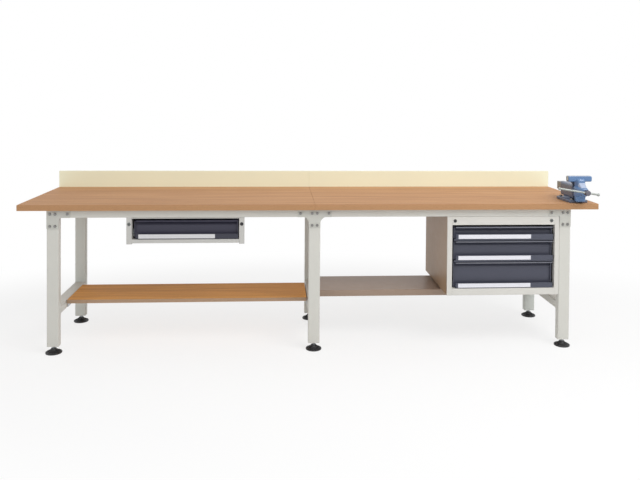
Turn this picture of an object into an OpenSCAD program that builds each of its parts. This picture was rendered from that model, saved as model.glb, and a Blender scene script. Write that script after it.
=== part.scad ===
// Two-bay workbench with a wooden top, a low backboard, welded leg frames on screw feet,
// one hanging drawer, a cabinet with three drawers, two low shelves and a bench vise.
// Millimetres. X runs along the bench, the front looks along -Y and +Z is up.
// The origin is on the floor, under the middle of the whole bench's outer box.

/* [Worktop] */
// Length of the worktop
top_w = 3000; // [2600:10:3600]
// Depth of the worktop and its backboard together
top_d = 700; // [650:5:900]
// Height of the worktop's upper face
top_h = 766; // [740:1:900]
// Thickness of the worktop boards
top_t = 30; // [25:1:50]
// Joint between the two worktop boards
seam = 0.4; // [0.2:0.1:1]
// Height of the backboard above the worktop
back_h = 96; // [60:1:200]
// Thickness of the backboard
back_t = 19; // [12:1:30]

/* [Leg frames] */
// Width of a leg, seen from the front
leg_w = 60; // [50:1:80]
// Depth of a leg, front to back
leg_d = 40; // [30:1:60]
// Wall of the leg and beam tubes
tube_t = 2.5; // [2:0.5:4]
// From the worktop's end to the outer side of the end legs
leg_inset = 139; // [60:1:160]
// From the worktop's front edge to the front of the legs
leg_front = 28; // [20:1:60]
// From the backboard's rear face to the back of the rear legs
leg_back = 138.5; // [80:0.5:160]
// Height of the leg's lower end above the floor
leg_lift = 37; // [32:1:60]
// Height of the top beams and of the long rails
rail_h = 40; // [30:1:50]
// Depth of the long rails
rail_d = 30; // [20:1:35]
// Wall of the long rails
rail_t = 2; // [1.5:0.5:3]
// From the cabinet's underside down to the low struts
strut_z = 44; // [38:1:100]
// Height of the low struts themselves
strut_h = 40; // [34:1:50]

/* [Head plates and bolts] */
// Thickness of the head plates
plate_t = 3; // [2:0.5:5]
// Height of the head plates
plate_h = 96; // [90:1:110]
// Reach of the head plates along the rails
plate_reach = 58; // [54:1:80]
// Side of the sloped gusset under the rail
plate_wing = 20; // [10:1:25]
// Radius of the bolt shanks
bolt_r = 4; // [3:0.5:5]
// Width of the bolt heads across the flats
bolt_head_w = 13; // [10:1:16]
// Height of the bolt heads
bolt_head_h = 5.5; // [4:0.5:7]

/* [Feet] */
// Radius of the foot pads
pad_r = 41; // [35:1:45]
// Height of the foot pads
pad_h = 26; // [20:1:29]
// Radius of the foot stems
stem_r = 8; // [6:0.5:10]
// Length of the foot stems
stem_len = 130; // [90:1:150]

/* [Shelves] */
// Depth of both low shelves
shelf_d = 290; // [240:5:320]
// Thickness of the wooden shelf
wood_t = 20; // [16:1:28]
// Gap between the wooden shelf's ends and the struts
wood_gap = 4; // [3.5:0.5:8]
// Shift of the wooden shelf's middle from the worktop's middle
wood_y = -52; // [-60:1:-40]
// Height of the steel shelf
tray_h = 33; // [20:1:38]
// Sheet of the steel shelf
tray_t = 2; // [1.5:0.5:3]
// Shift of the steel shelf's middle from the worktop's middle
tray_y = -19; // [-40:1:0]

/* [Drawer units] */
// Width of both drawer units
unit_w = 600; // [560:5:600]
// Width of the posts beside the drawers
post_w = 27; // [25:0.5:30]
// Depth of the hanging drawer unit
single_d = 490; // [460:5:490]
// Height of the hanging drawer unit
single_h = 136.7; // [130:0.1:160]
// Shift of the hanging drawer unit from the middle of its bay
single_x = 2.5; // [-85:0.5:165]
// Height of the bar below the hanging drawer
single_sill = 24.5; // [20:0.5:30]
// Depth of the cabinet
cab_d = 520; // [500:5:530]
// Height of the cabinet
cab_h = 416.7; // [410:0.1:420]
// Height of the bar below the cabinet's drawers
cab_sill = 36; // [30:1:40]
// Height of the plate above the cabinet's drawers
cab_head = 45; // [42:1:46]
// Sheet of the drawer units
sheet_t = 2; // [1.5:0.5:2.5]
// Front height of the top drawer in the cabinet
front_top = 65; // [62:1:75]
// Front height of the middle drawer in the cabinet
front_mid = 101; // [90:1:110]
// Open gap above each drawer front
front_gap = 11; // [8:0.5:12]
// Depth of the drawer fronts behind the unit's front
recess = 26; // [24:1:30]
// Height of the handle rails
handle_h = 27; // [22:1:30]
// Length of the label strips
label_w = 389; // [200:1:450]

/* [Vise] */
// Width of the vise jaws
jaw_w = 125; // [100:5:125]
// Gap between the end leg and the flats of the vise's nuts
vise_x = 3.5; // [2:0.5:18]
// Height of the screw above the worktop
screw_z = 67; // [65:1:80]
// Height of the jaws' upper edge above the worktop
jaw_z = 144; // [140:1:150]
// Radius of the vise's screw
screw_r = 7; // [6:0.5:8]
// Length of the cross bar in the screw's head
bar_len = 220; // [160:5:240]
// Tilt of the cross bar at rest, in degrees
bar_tilt = 9; // [0:1:40]
// How far the cross bar has slid to the left at rest
bar_slid = 45; // [0:1:60]

/* [Hidden] */

// Colours of the pieces
C_TOP = "#c89e76";
C_BACK = "#eee0b5";
C_FRAME = "#c6c5bc";
C_PLATE = "#b6b6b0";
C_BOLT = "#6f7072";
C_SHELF = "#b9935f";
C_TRAY = "#a89b90";
C_UNIT = "#d8d5cc";
C_DRAWER = "#4b4d59";
C_HANDLE = "#3f414c";
C_LABEL = "#e6e6ec";
C_ZINC = "#a9acb0";
C_LOCK = "#b9bbbe";
C_BLACK = "#232325";
C_BLUE = "#456c9f";
C_CAST = "#77797c";
C_STEEL = "#c2c5c9";

// Fine, running and resting clearances
fit = 0.05;
rest = 0.3;
over = 1;

// Worktop
under = top_h - top_t;
front_edge = -top_d / 2;
back_edge = top_d / 2;
board_back = back_edge - back_t;

// Leg frames
leg_x = top_w / 2 - leg_inset - leg_w / 2;
leg_y0 = front_edge + leg_front;
leg_y1 = back_edge - leg_back;
front_leg_y = leg_y0 + leg_d / 2;
rear_leg_y = leg_y1 - leg_d / 2;
rail_z = under - rail_h;
cab_z = rail_z - rest - cab_h;
strut_top = cab_z - strut_z;
strut_low = strut_top - strut_h;
FRAME_X = [-leg_x, 0, leg_x];
foot_bore_r = stem_r + fit;
foot_plate_t = 5;

// Head plates and bolts
plate_z = under - plate_h;
bolt_dx = 13;
bolt_in = 14;
BOLT_Z = [plate_z + bolt_in, under - rail_h / 2];
rail_bolt_dx = leg_w / 2 + plate_reach - bolt_in;
bolt_len = 16;
hole_r = bolt_r + 0.2;

// Wood screws, from the back into the boards' edge and from the beams up into the boards
screw_shank_r = 2.5;
screw_head_r = 4.5;
screw_play = 0.1;
screw_hole_r = screw_shank_r + screw_play;
back_screw_len = 48;
back_screw_in = 110;
back_screws = 4;
beam_screw_len = 24;
beam_screw_dx = 17;
BEAM_SCREW_Y = [-180, 70];
access_r = 7;

// Low shelves
angle_t = 3;
angle_w = 35;
angle_in = 25;
angle_len = shelf_d - 2 * angle_in;
angle_y0 = wood_y - angle_len / 2;
angle_y1 = wood_y + angle_len / 2;
angle_bolt_r = 3;
angle_bolt_in = 40;
angle_bolt_up = 11;
angle_bolt_len = 12;
angle_head_r = 5;
angle_head_h = 3;
wood_up = 6;
wood_top = strut_top + wood_up;
wood_z = wood_top - wood_t;
tray_in = 6;
tray_x0 = tray_in;
tray_x1 = leg_x - tray_in;

// Drawer units
open_w = unit_w - 2 * post_w;
half = unit_w / 2;
side = open_w / 2;
cab_gap = 2;
cab_x = leg_x - leg_w / 2 - cab_gap - half;
single_mid = single_x - leg_x / 2;
single_z = rail_z - rest - single_h;
single_head = 5;
single_lip = 18;
single_front_d = 30;
cab_front_d = 27;
front_play = 1.5;
front_side = 3;
single_open_z = single_z + single_sill;
single_open = single_h - single_sill - single_head;
cab_open_z = cab_z + cab_sill;
cab_open = cab_h - cab_sill - cab_head;
front_single = single_open - front_gap - front_play;
front_low = cab_open - 3 * front_gap - front_mid - front_top - front_play;
front_w = open_w - 2 * front_side;
zs_single = single_open_z + front_play;
zs_low = cab_open_z + front_play;
zs_mid = zs_low + front_low + front_gap;
zs_top = zs_mid + front_mid + front_gap;
strip_w = 30;
strip_len = 400;
strip_dx = 190;
strip_in = 7;
strip_y = leg_y0 + rail_d + strip_in;

// Drawer fronts, pans, handles and labels, seen from the side
lip_reach = 21;
lip_drop = 6;
return_d = 14;
pan_z = 5;
pan_drop = 16;
pan_in = 14;
handle_y = 2;
handle_t = 2.5;
handle_back_h = 10;
handle_back_t = 2;
bead_t = 1.2;
bead_h = 1.5;
label_t = 1;
label_in = 33.5;

// Drawer runners, seen across one side of the opening
run_z = 26;
run_in = 18;
run_y = recess + run_in;
channel_in = 10;
inner_in = 16;
mid_in = 20;
carrier_h = 24;
channel_w = 12.2;
channel_h = 36;
mid_w = 9.5;
mid_h = 32;
inner_w = 8.8;
inner_h = 27.6;
run_t = 1.5;
mid_side = side - run_t - 0.6;
inner_side = mid_side - run_t - 0.8;
tray_side = inner_side - inner_w;

// Locks
sleeve_r = 8;
sleeve_len = 14;
rim_r = 9.5;
rim_t = 2;
barrel_r = 6;
barrel_out = 2.6;
barrel_len = 16;
cam_t = 1.8;
cam_w = 6;
cam_reach = 10;
key_w = 1.6;
key_h = 8;
key_deep = 1.6;
plug_r = 9;
plug_len = 8;
cab_lock_in = 14;
single_lock_up = 103;
single_lock_x = half - post_w / 2;
cab_lock_x = side - cab_lock_in;
single_lock_z = single_z + single_lock_up;
cab_lock_z = cab_z + cab_h - cab_head / 2;

// Vise, from its own middle and from the worktop's upper face
jaw_in = 32;
jaw_y = front_edge + jaw_in;
vise_plate_t = 6;
vise_plate_h = 25;
jaw_head_h = 30;
jaw_block_h = 36;
beam_w = 40;
beam_h = 42;
beam_t = 8;
slot_w = beam_w - 2 * beam_t;
body_w = 64;
body_len = 170;
body_y1 = jaw_y + body_len;
body_z = 28;
body_top = 28;
body_round = 8;
nut_len = 30;
nut_y = jaw_y + 34;
slide_len = 236;
slide_y1 = jaw_y + slide_len;
base_in = 85;
base_y = jaw_y + base_in;
base_w = 106;
base_d = 170;
base_t = 14;
base_round = 8;
boss_r = 52;
boss_h = 18;
turn_h = 8;
vise_bolt_dx = 32;
vise_bolt_dy = 70;
vise_bolt_r = 5;
vise_nut_w = 17;
vise_nut_h = 8;
vise_head_h = 7;
vise_thread_end = 4;
vise_mid = leg_x + leg_w / 2 + vise_x + vise_nut_w / 2 + vise_bolt_dx;
neck_w = 44;
housing_w = 64;
apron_z = 8;
rib_out = 60;
head_out = 102;
head_y = jaw_y - head_out;
head_len = 30;
head_r = 14;
collar_t = 4;
screw_in = 56;
bar_r = 5;
knob_r = 8;
knob_len = 10;

// The bench is moved back so that the outer box is centred on the origin
y_mid = -(head_y - head_len / 2 + back_edge) / 2;

module place() {
    translate([0, y_mid, 0])
        children();
}

module block(x0, x1, y0, y1, z0, z1) {
    translate([x0, y0, z0])
        cube([x1 - x0, y1 - y0, z1 - z0]);
}

// A round bar or hole along Y
module rod_y(r, y0, y1) {
    translate([0, y0, 0])
        rotate([-90, 0, 0])
            cylinder(r = r, h = y1 - y0, $fn = 48);
}

module hex_y(w, y0, y1) {
    translate([0, y0, 0])
        rotate([-90, 0, 0])
            cylinder(r = w / sqrt(3), h = y1 - y0, $fn = 6);
}

module mirror_x() {
    children();
    mirror([1, 0, 0])
        children();
}

// Worktop and backboard

module board(x0, x1) {
    difference() {
        block(x0, x1, front_edge, board_back, under, top_h);
        for (x = back_screw_x(x0, x1))
            translate([x, 0, under + top_t / 2])
                rod_y(screw_hole_r, back_edge - back_screw_len - over, back_edge);
        for (x = FRAME_X, dx = [-beam_screw_dx, beam_screw_dx], y = BEAM_SCREW_Y)
            translate([x + dx, y, under - over])
                cylinder(r = screw_hole_r, h = beam_screw_len, $fn = 32);
    }
}

module worktop_left() {
    color(C_TOP)
        place()
            board(-top_w / 2, -seam / 2);
}

module worktop_right() {
    color(C_TOP)
        place()
            difference() {
                board(seam / 2, top_w / 2);
                vise_bolt_places()
                    translate([0, 0, -top_t - over])
                        cylinder(r = vise_bolt_r + 0.2, h = top_t + 2 * over, $fn = 32);
            }
}

// Places of the screws along one length of backboard
function back_screw_x(x0, x1) = [
    for (i = [0 : back_screws - 1])
        x0 + back_screw_in + i * (x1 - x0 - 2 * back_screw_in) / (back_screws - 1)
];

// A length of backboard, against the rear edge of the worktop
module backboard(x0, x1) {
    color(C_BACK)
        place()
            difference() {
                block(x0, x1, board_back, back_edge, under, top_h + back_h);
                for (x = back_screw_x(x0, x1))
                    translate([x, 0, under + top_t / 2]) {
                        rod_y(screw_hole_r, board_back - over, back_edge + over);
                        countersink(screw_hole_r, screw_head_r + screw_play, over);
                    }
            }
}

// Cone from a shank's radius r out to r_out at the back
module countersink(r, r_out, proud) {
    translate([0, back_edge - r_out + r, 0])
        rotate([-90, 0, 0])
            cylinder(r1 = r, r2 = r_out + proud, h = r_out - r + proud, $fn = 48);
}

module back_screw(x) {
    translate([x, 0, under + top_t / 2]) {
        rod_y(screw_shank_r, back_edge - back_screw_len, back_edge - screw_head_r + screw_shank_r + fit);
        countersink(screw_shank_r, screw_head_r, 0);
    }
}

module beam_screw() {
    translate([0, 0, -tube_t - screw_shank_r])
        cylinder(r = screw_head_r, h = screw_shank_r, $fn = 48);
    translate([0, 0, -tube_t - over])
        cylinder(r = screw_shank_r, h = beam_screw_len + over, $fn = 32);
}

module wood_screws() {
    color(C_BOLT)
        place() {
            for (x0 = [-top_w / 2, seam / 2], x = back_screw_x(x0, x0 + top_w / 2 - seam / 2))
                back_screw(x);
            for (x = FRAME_X, dx = [-beam_screw_dx, beam_screw_dx], y = BEAM_SCREW_Y)
                translate([x + dx, y, under])
                    beam_screw();
        }
}

module backboard_left() {
    backboard(-top_w / 2, -seam / 2);
}

module backboard_right() {
    backboard(seam / 2, top_w / 2);
}

// Leg frames, rails and head plates

module leg_solid(y) {
    block(-leg_w / 2, leg_w / 2, y - leg_d / 2, y + leg_d / 2, leg_lift, under);
}

module leg_hollow(y) {
    w = leg_w / 2 - tube_t;
    d = leg_d / 2 - tube_t;
    block(-w, w, y - d, y + d, leg_lift + foot_plate_t, under - tube_t);
    translate([0, y, leg_lift - over])
        cylinder(r = foot_bore_r, h = foot_plate_t + 2 * over, $fn = 48);
}

module beam_solid(z, h) {
    block(-leg_w / 2, leg_w / 2, front_leg_y, rear_leg_y, z, z + h);
}

module beam_hollow(z, h) {
    w = leg_w / 2 - tube_t;
    block(-w, w, front_leg_y, rear_leg_y, z + tube_t, z + h - tube_t);
}

module leg_frame(x) {
    color(C_FRAME)
        place()
            translate([x, 0, 0])
                difference() {
                    union() {
                        leg_solid(front_leg_y);
                        leg_solid(rear_leg_y);
                        beam_solid(rail_z, rail_h);
                        beam_solid(strut_low, strut_h);
                    }
                    leg_hollow(front_leg_y);
                    leg_hollow(rear_leg_y);
                    beam_hollow(rail_z, rail_h);
                    beam_hollow(strut_low, strut_h);
                    for (dx = [-bolt_dx, bolt_dx], z = BOLT_Z)
                        translate([dx, 0, z])
                            rod_y(hole_r, leg_y0 - over, leg_y0 + tube_t + over);
                    for (dx = [-beam_screw_dx, beam_screw_dx], y = BEAM_SCREW_Y) {
                        translate([dx, y, under - tube_t - over])
                            cylinder(r = screw_hole_r, h = tube_t + 2 * over, $fn = 32);
                        translate([dx, y, rail_z - over])
                            cylinder(r = access_r, h = tube_t + 2 * over, $fn = 32);
                    }
                    if (x <= 0)
                        angle_bolt_holes(x < 0 ? 1 : -1);
                }
}

module frame_left() {
    leg_frame(-leg_x);
}

module frame_middle() {
    leg_frame(0);
}

module frame_right() {
    leg_frame(leg_x);
}

// One tube between two leg frames, on the right of the middle frame
module long_rail(y0, bolt_holes) {
    x0 = leg_w / 2;
    x1 = leg_x - leg_w / 2;
    difference() {
        block(x0, x1, y0, y0 + rail_d, rail_z, under);
        block(
            x0 - over, x1 + over, y0 + rail_t, y0 + rail_d - rail_t,
            rail_z + rail_t, under - rail_t
        );
        if (bolt_holes)
            for (x = [rail_bolt_dx, leg_x - rail_bolt_dx])
                translate([x, 0, BOLT_Z[1]])
                    rod_y(hole_r, y0 - over, y0 + rail_t + over);
    }
}

module front_rails() {
    color(C_FRAME)
        place()
            mirror_x()
                long_rail(leg_y0, true);
}

module rear_rails() {
    color(C_FRAME)
        place()
            mirror_x()
                long_rail(leg_y1 - rail_d, false);
}

// Outline of a plate that lies over a leg's head and over the rail at one side
module plate_half() {
    e = leg_w / 2;
    polygon([
        [0, plate_z], [e, plate_z], [e, rail_z - plate_wing], [e + plate_wing, rail_z],
        [e + plate_reach, rail_z], [e + plate_reach, under - rest], [0, under - rest]
    ]);
}

module plate_plain_half() {
    polygon([[0, plate_z], [-leg_w / 2, plate_z], [-leg_w / 2, under - rest], [0, under - rest]]);
}

module head_plate(x, right, left) {
    translate([x, leg_y0, 0])
        rotate([90, 0, 0])
            linear_extrude(plate_t)
                difference() {
                    union() {
                        if (right)
                            plate_half();
                        else
                            mirror([1, 0])
                                plate_plain_half();
                        if (left)
                            mirror([1, 0])
                                plate_half();
                        else
                            plate_plain_half();
                    }
                    for (dx = [-bolt_dx, bolt_dx], z = BOLT_Z)
                        translate([dx, z])
                            circle(r = hole_r, $fn = 32);
                    if (right)
                        translate([rail_bolt_dx, BOLT_Z[1]])
                            circle(r = hole_r, $fn = 32);
                    if (left)
                        translate([-rail_bolt_dx, BOLT_Z[1]])
                            circle(r = hole_r, $fn = 32);
                }
}

module head_plates() {
    color(C_PLATE)
        place() {
            head_plate(-leg_x, true, false);
            head_plate(0, true, true);
            head_plate(leg_x, false, true);
        }
}

module frame_bolt(x, z) {
    translate([x, leg_y0 - plate_t, z]) {
        hex_y(bolt_head_w, -bolt_head_h, 0);
        rod_y(bolt_r, -over, bolt_len);
    }
}

module frame_bolts() {
    color(C_BOLT)
        place() {
            for (x = FRAME_X, dx = [-bolt_dx, bolt_dx], z = BOLT_Z)
                frame_bolt(x + dx, z);
            for (x = [-leg_x + rail_bolt_dx, -rail_bolt_dx, rail_bolt_dx, leg_x - rail_bolt_dx])
                frame_bolt(x, BOLT_Z[1]);
            angle_bolts();
        }
}

// Low shelves

module angle_bolt_places() {
    for (y = [angle_y0 + angle_bolt_in, angle_y1 - angle_bolt_in])
        translate([0, y, strut_low + angle_bolt_up])
            children();
}

// Holes in the strut's side that carries an angle
module angle_bolt_holes(way) {
    angle_bolt_places()
        translate([way * (leg_w / 2 + over), 0, 0])
            rotate([0, -way * 90, 0])
                cylinder(r = angle_bolt_r + 0.2, h = tube_t + 2 * over, $fn = 32);
}

module angle_bolts() {
    for (s = [[-leg_x, 1], [0, -1]])
        translate([s[0] + s[1] * (leg_w / 2 + angle_t), 0, 0])
            angle_bolt_places() {
                rotate([0, s[1] * 90, 0])
                    cylinder(r = angle_head_r, h = angle_head_h, $fn = 32);
                rotate([0, -s[1] * 90, 0])
                    cylinder(r = angle_bolt_r, h = angle_bolt_len, $fn = 32);
            }
}

// The angle at the left frame, with its inner side towards the shelf
module shelf_angle(x, way) {
    translate([x, 0, 0])
        scale([way, 1, 1])
            difference() {
                union() {
                    block(0, angle_t, angle_y0, angle_y1, strut_low + over, wood_z);
                    block(0, angle_w, angle_y0, angle_y1, wood_z - angle_t, wood_z);
                }
                angle_bolt_places()
                    translate([-over, 0, 0])
                        rotate([0, 90, 0])
                            cylinder(r = angle_bolt_r + 0.2, h = angle_t + 2 * over, $fn = 32);
            }
}

module shelf_angles() {
    color(C_ZINC)
        place() {
            shelf_angle(-leg_x + leg_w / 2, 1);
            shelf_angle(-leg_w / 2, -1);
        }
}

module wood_shelf() {
    color(C_SHELF)
        place()
            block(
                -leg_x + leg_w / 2 + wood_gap, -leg_w / 2 - wood_gap,
                wood_y - shelf_d / 2, wood_y + shelf_d / 2, wood_z, wood_top
            );
}

// A sheet shelf with its edges turned down, which stands on two struts
module steel_shelf() {
    y0 = tray_y - shelf_d / 2;
    y1 = tray_y + shelf_d / 2;
    color(C_TRAY)
        place()
            difference() {
                block(tray_x0, tray_x1, y0, y1, strut_top, strut_top + tray_h);
                block(
                    tray_x0 + tray_t, tray_x1 - tray_t, y0 + tray_t, y1 - tray_t,
                    strut_top - over, strut_top + tray_h - tray_t
                );
            }
}

// Drawer units

module at_single() {
    place()
        translate([single_mid, leg_y0, single_z])
            children();
}

module at_cabinet() {
    place()
        translate([cab_x, leg_y0, cab_z])
            children();
}

// Round holes for a lock and a plug, cut through a front sheet
module lock_holes(x, z) {
    for (s = [-1, 1])
        translate([s * x, 0, z])
            rod_y(sleeve_r + fit, -over, sheet_t + over);
}

module drawer_housing() {
    t = sheet_t;
    h = single_h;
    color(C_UNIT)
        at_single()
            difference() {
                union() {
                    block(-side - t, side + t, 0, single_d, 0, h);
                    block(-half, half, 0, t, 0, h);
                    mirror_x()
                        block(half - t, half, 0, single_lip, 0, h);
                }
                block(-side, side, single_front_d, single_d - t, t, h - t);
                block(-side, side, -over, single_front_d + over, single_sill, h - single_head);
                block(-side, side, t, single_front_d - over, t, single_sill - t);
                lock_holes(single_lock_x, single_lock_z - single_z);
            }
}

module cabinet_body() {
    t = sheet_t;
    h = cab_h;
    color(C_UNIT)
        at_cabinet()
            difference() {
                block(-half, half, 0, cab_d, 0, h);
                block(-half + t, half - t, cab_front_d, cab_d - t, t, h - t);
                block(-side, side, -over, cab_front_d + over, cab_sill, h - cab_head);
                block(-side, side, t, cab_front_d + over, t, cab_sill - t);
                block(-half + t, half - t, t, cab_front_d + over, h - cab_head + t, h - t);
                mirror_x()
                    block(side + t, half - t, t, cab_front_d + over, t, h - t);
                lock_holes(cab_lock_x, cab_lock_z - cab_z);
            }
}

// Open tubes between the drawer units and the underside of the worktop
module hanging_strips() {
    color(C_ZINC)
        place()
            for (cx = [single_mid, cab_x], dx = [-strip_dx, strip_dx])
                translate([cx + dx, strip_y, rail_z - rest])
                    difference() {
                        block(-strip_w / 2, strip_w / 2, 0, strip_len, 0, rail_h + rest);
                        block(
                            -strip_w / 2 + tube_t, strip_w / 2 - tube_t, -over, strip_len + over,
                            tube_t, rail_h + rest - tube_t
                        );
                    }
}

// Open tubes inside the cabinet's sides, one behind each runner channel
module runner_carriers() {
    x1 = half - sheet_t;
    y1 = cab_d - channel_in;
    h = carrier_h / 2;
    color(C_ZINC)
        place()
            for (z0 = [zs_low, zs_mid, zs_top])
                translate([cab_x, leg_y0, z0 + run_z])
                    mirror_x()
                        difference() {
                            block(side, x1, run_y, y1, -h, h);
                            block(side + run_t, x1 - run_t, run_y - over, y1 + over, run_t - h, h - run_t);
                        }
}

// A C profile along Y, open towards the drawer
module c_profile(x1, w, h, y0, y1) {
    difference() {
        block(x1 - w, x1, y0, y1, -h / 2, h / 2);
        block(x1 - w - over, x1 - run_t, y0 - over, y1 + over, -h / 2 + run_t, h / 2 - run_t);
    }
}

module channel_pair(cx, z0, depth) {
    translate([cx, leg_y0, z0 + run_z])
        mirror_x()
            c_profile(side, channel_w, channel_h, run_y, depth - channel_in);
}

module runner_channels() {
    color(C_ZINC)
        place() {
            channel_pair(single_mid, zs_single, single_d);
            for (z0 = [zs_low, zs_mid, zs_top])
                channel_pair(cab_x, z0, cab_d);
        }
}

// Drawers

// Sheet front set back behind a lip and two cheeks, with a pan behind it
module drawer(cx, z0, fh, depth) {
    t = sheet_t;
    pan_top = fh - pan_drop;
    y1 = depth - pan_in;
    return_y = recess + return_d;
    color(C_DRAWER)
        place()
            translate([cx, leg_y0, z0]) {
                difference() {
                    block(-front_w / 2, front_w / 2, recess, return_y, 0, fh);
                    block(-front_w / 2 + t, front_w / 2 - t, recess + t, return_y + over, t, fh - t);
                }
                block(-front_w / 2, front_w / 2, recess - lip_reach, recess + over, fh - t, fh);
                block(
                    -front_w / 2, front_w / 2, recess - lip_reach, recess - lip_reach + t,
                    fh - lip_drop, fh
                );
                mirror_x()
                    block(front_w / 2 - t, front_w / 2, recess - lip_reach, recess + over, handle_h, fh);
                difference() {
                    block(-tray_side, tray_side, recess + t / 2, y1, pan_z, pan_top);
                    block(-tray_side + t, tray_side - t, recess + t, y1 - t, pan_z + t, pan_top + over);
                }
                translate([0, 0, run_z])
                    mirror_x()
                        inner_runner(depth);
            }
}

module inner_runner(depth) {
    h = inner_h / 2;
    y1 = depth - inner_in;
    difference() {
        block(tray_side - over, inner_side, run_y, y1, -h, h);
        block(tray_side + run_t, inner_side + over, run_y - over, y1 + over, run_t - h, h - run_t);
    }
}

// Full-width rail at the foot of a front, gripped from above
module handle(cx, z0) {
    w = front_w / 2;
    bead_y = handle_y - bead_t;
    color(C_HANDLE)
        place()
            translate([cx, leg_y0, z0]) {
                block(-w, w, recess - handle_back_t, recess, 0, handle_back_h);
                block(-w, w, handle_y, recess, 0, handle_t);
                block(-w, w, handle_y, handle_y + handle_t, 0, handle_h);
                block(-w, w, bead_y, handle_y + fit, handle_h - bead_h, handle_h);
                block(-w, w, bead_y, handle_y + fit, 0, bead_h);
            }
}

module label(cx, z0) {
    x0 = -side + label_in;
    color(C_LABEL)
        place()
            translate([cx, leg_y0, z0])
                block(x0, x0 + label_w, handle_y - label_t, handle_y, bead_h, handle_h - bead_h);
}

module runners(cx, z0, depth) {
    color(C_ZINC)
        place()
            translate([cx, leg_y0, z0 + run_z])
                mirror_x()
                    c_profile(mid_side, mid_w, mid_h, run_y, depth - mid_in);
}

module drawer_single() {
    drawer(single_mid, zs_single, front_single, single_d);
}

module handle_single() {
    handle(single_mid, zs_single);
}

module label_single() {
    label(single_mid, zs_single);
}

module runners_single() {
    runners(single_mid, zs_single, single_d);
}

module drawer_top() {
    drawer(cab_x, zs_top, front_top, cab_d);
}

module handle_top() {
    handle(cab_x, zs_top);
}

module label_top() {
    label(cab_x, zs_top);
}

module runners_top() {
    runners(cab_x, zs_top, cab_d);
}

module drawer_middle() {
    drawer(cab_x, zs_mid, front_mid, cab_d);
}

module handle_middle() {
    handle(cab_x, zs_mid);
}

module label_middle() {
    label(cab_x, zs_mid);
}

module runners_middle() {
    runners(cab_x, zs_mid, cab_d);
}

module drawer_bottom() {
    drawer(cab_x, zs_low, front_low, cab_d);
}

module handle_bottom() {
    handle(cab_x, zs_low);
}

module label_bottom() {
    label(cab_x, zs_low);
}

module runners_bottom() {
    runners(cab_x, zs_low, cab_d);
}

// Locks

module at_lock_single() {
    place()
        translate([single_mid - single_lock_x, leg_y0, single_lock_z])
            children();
}

module at_lock_cabinet() {
    place()
        translate([cab_x + cab_lock_x, leg_y0, cab_lock_z])
            children();
}

module lock_sleeve() {
    difference() {
        union() {
            rod_y(rim_r, -rim_t, 0);
            rod_y(sleeve_r, -over, sleeve_len);
        }
        rod_y(barrel_r + fit, -rim_t - over, sleeve_len + over);
    }
}

module lock_sleeves() {
    color(C_LOCK) {
        at_lock_single()
            lock_sleeve();
        at_lock_cabinet()
            lock_sleeve();
    }
}

// Barrel with a key slot in front and a short cam behind
module lock_barrel() {
    difference() {
        rod_y(barrel_r, -barrel_out, barrel_len);
        block(-key_w / 2, key_w / 2, -barrel_out - over, -barrel_out + key_deep, -key_h / 2, key_h / 2);
    }
    block(-cam_w / 2, cam_w / 2, barrel_len - cam_t, barrel_len, -cam_reach, cam_w / 2);
}

module lock_barrel_single() {
    color(C_STEEL)
        at_lock_single()
            lock_barrel();
}

module lock_barrel_cabinet() {
    color(C_STEEL)
        at_lock_cabinet()
            lock_barrel();
}

module blank_plug() {
    rod_y(plug_r, -rim_t, 0);
    rod_y(sleeve_r, -over, plug_len);
}

module blank_plugs() {
    color(C_BLACK)
        place() {
            translate([single_mid + single_lock_x, leg_y0, single_lock_z])
                blank_plug();
            translate([cab_x - cab_lock_x, leg_y0, cab_lock_z])
                blank_plug();
        }
}

// Feet

module at_foot(n) {
    x = FRAME_X[(n - 1) % 3];
    y = n < 4 ? front_leg_y : rear_leg_y;
    place()
        translate([x, y, 0])
            children();
}

// Broad pad with a cone and a socket for the stem
module foot_pad(n) {
    color(C_BLACK)
        at_foot(n)
            rotate_extrude($fn = 64)
                polygon([
                    [0, 0], [pad_r - 2, 0], [pad_r, 2], [pad_r, 7], [pad_r - 3, 9.5],
                    [stem_r + 7, pad_h - 5], [stem_r + 5, pad_h], [stem_r + fit, pad_h],
                    [stem_r + fit, 8], [0, 8]
                ]);
}

module foot_stem(n) {
    color(C_ZINC)
        at_foot(n)
            translate([0, 0, 8])
                cylinder(r = stem_r, h = stem_len, $fn = 48);
}

module foot_pad_1() {
    foot_pad(1);
}

module foot_pad_2() {
    foot_pad(2);
}

module foot_pad_3() {
    foot_pad(3);
}

module foot_pad_4() {
    foot_pad(4);
}

module foot_pad_5() {
    foot_pad(5);
}

module foot_pad_6() {
    foot_pad(6);
}

module foot_stem_1() {
    foot_stem(1);
}

module foot_stem_2() {
    foot_stem(2);
}

module foot_stem_3() {
    foot_stem(3);
}

module foot_stem_4() {
    foot_stem(4);
}

module foot_stem_5() {
    foot_stem(5);
}

module foot_stem_6() {
    foot_stem(6);
}

// Vise

// Vise pieces stand at the vise's middle, with z counted from the worktop
module at_vise() {
    place()
        translate([vise_mid, 0, top_h])
            children();
}

module vise_bolt_places() {
    for (dx = [-vise_bolt_dx, vise_bolt_dx], dy = [-vise_bolt_dy, vise_bolt_dy])
        translate([vise_mid + dx, base_y + dy, top_h])
            children();
}

module vise_base() {
    color(C_CAST)
        place()
            difference() {
                translate([vise_mid, base_y, top_h]) {
                    linear_extrude(base_t)
                        offset(r = base_round, $fn = 32)
                            square([base_w - 2 * base_round, base_d - 2 * base_round], center = true);
                    cylinder(r = boss_r, h = boss_h, $fn = 64);
                }
                vise_bolt_places()
                    translate([0, 0, -over])
                        cylinder(r = vise_bolt_r + 0.2, h = base_t + 2 * over, $fn = 32);
            }
}

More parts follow.
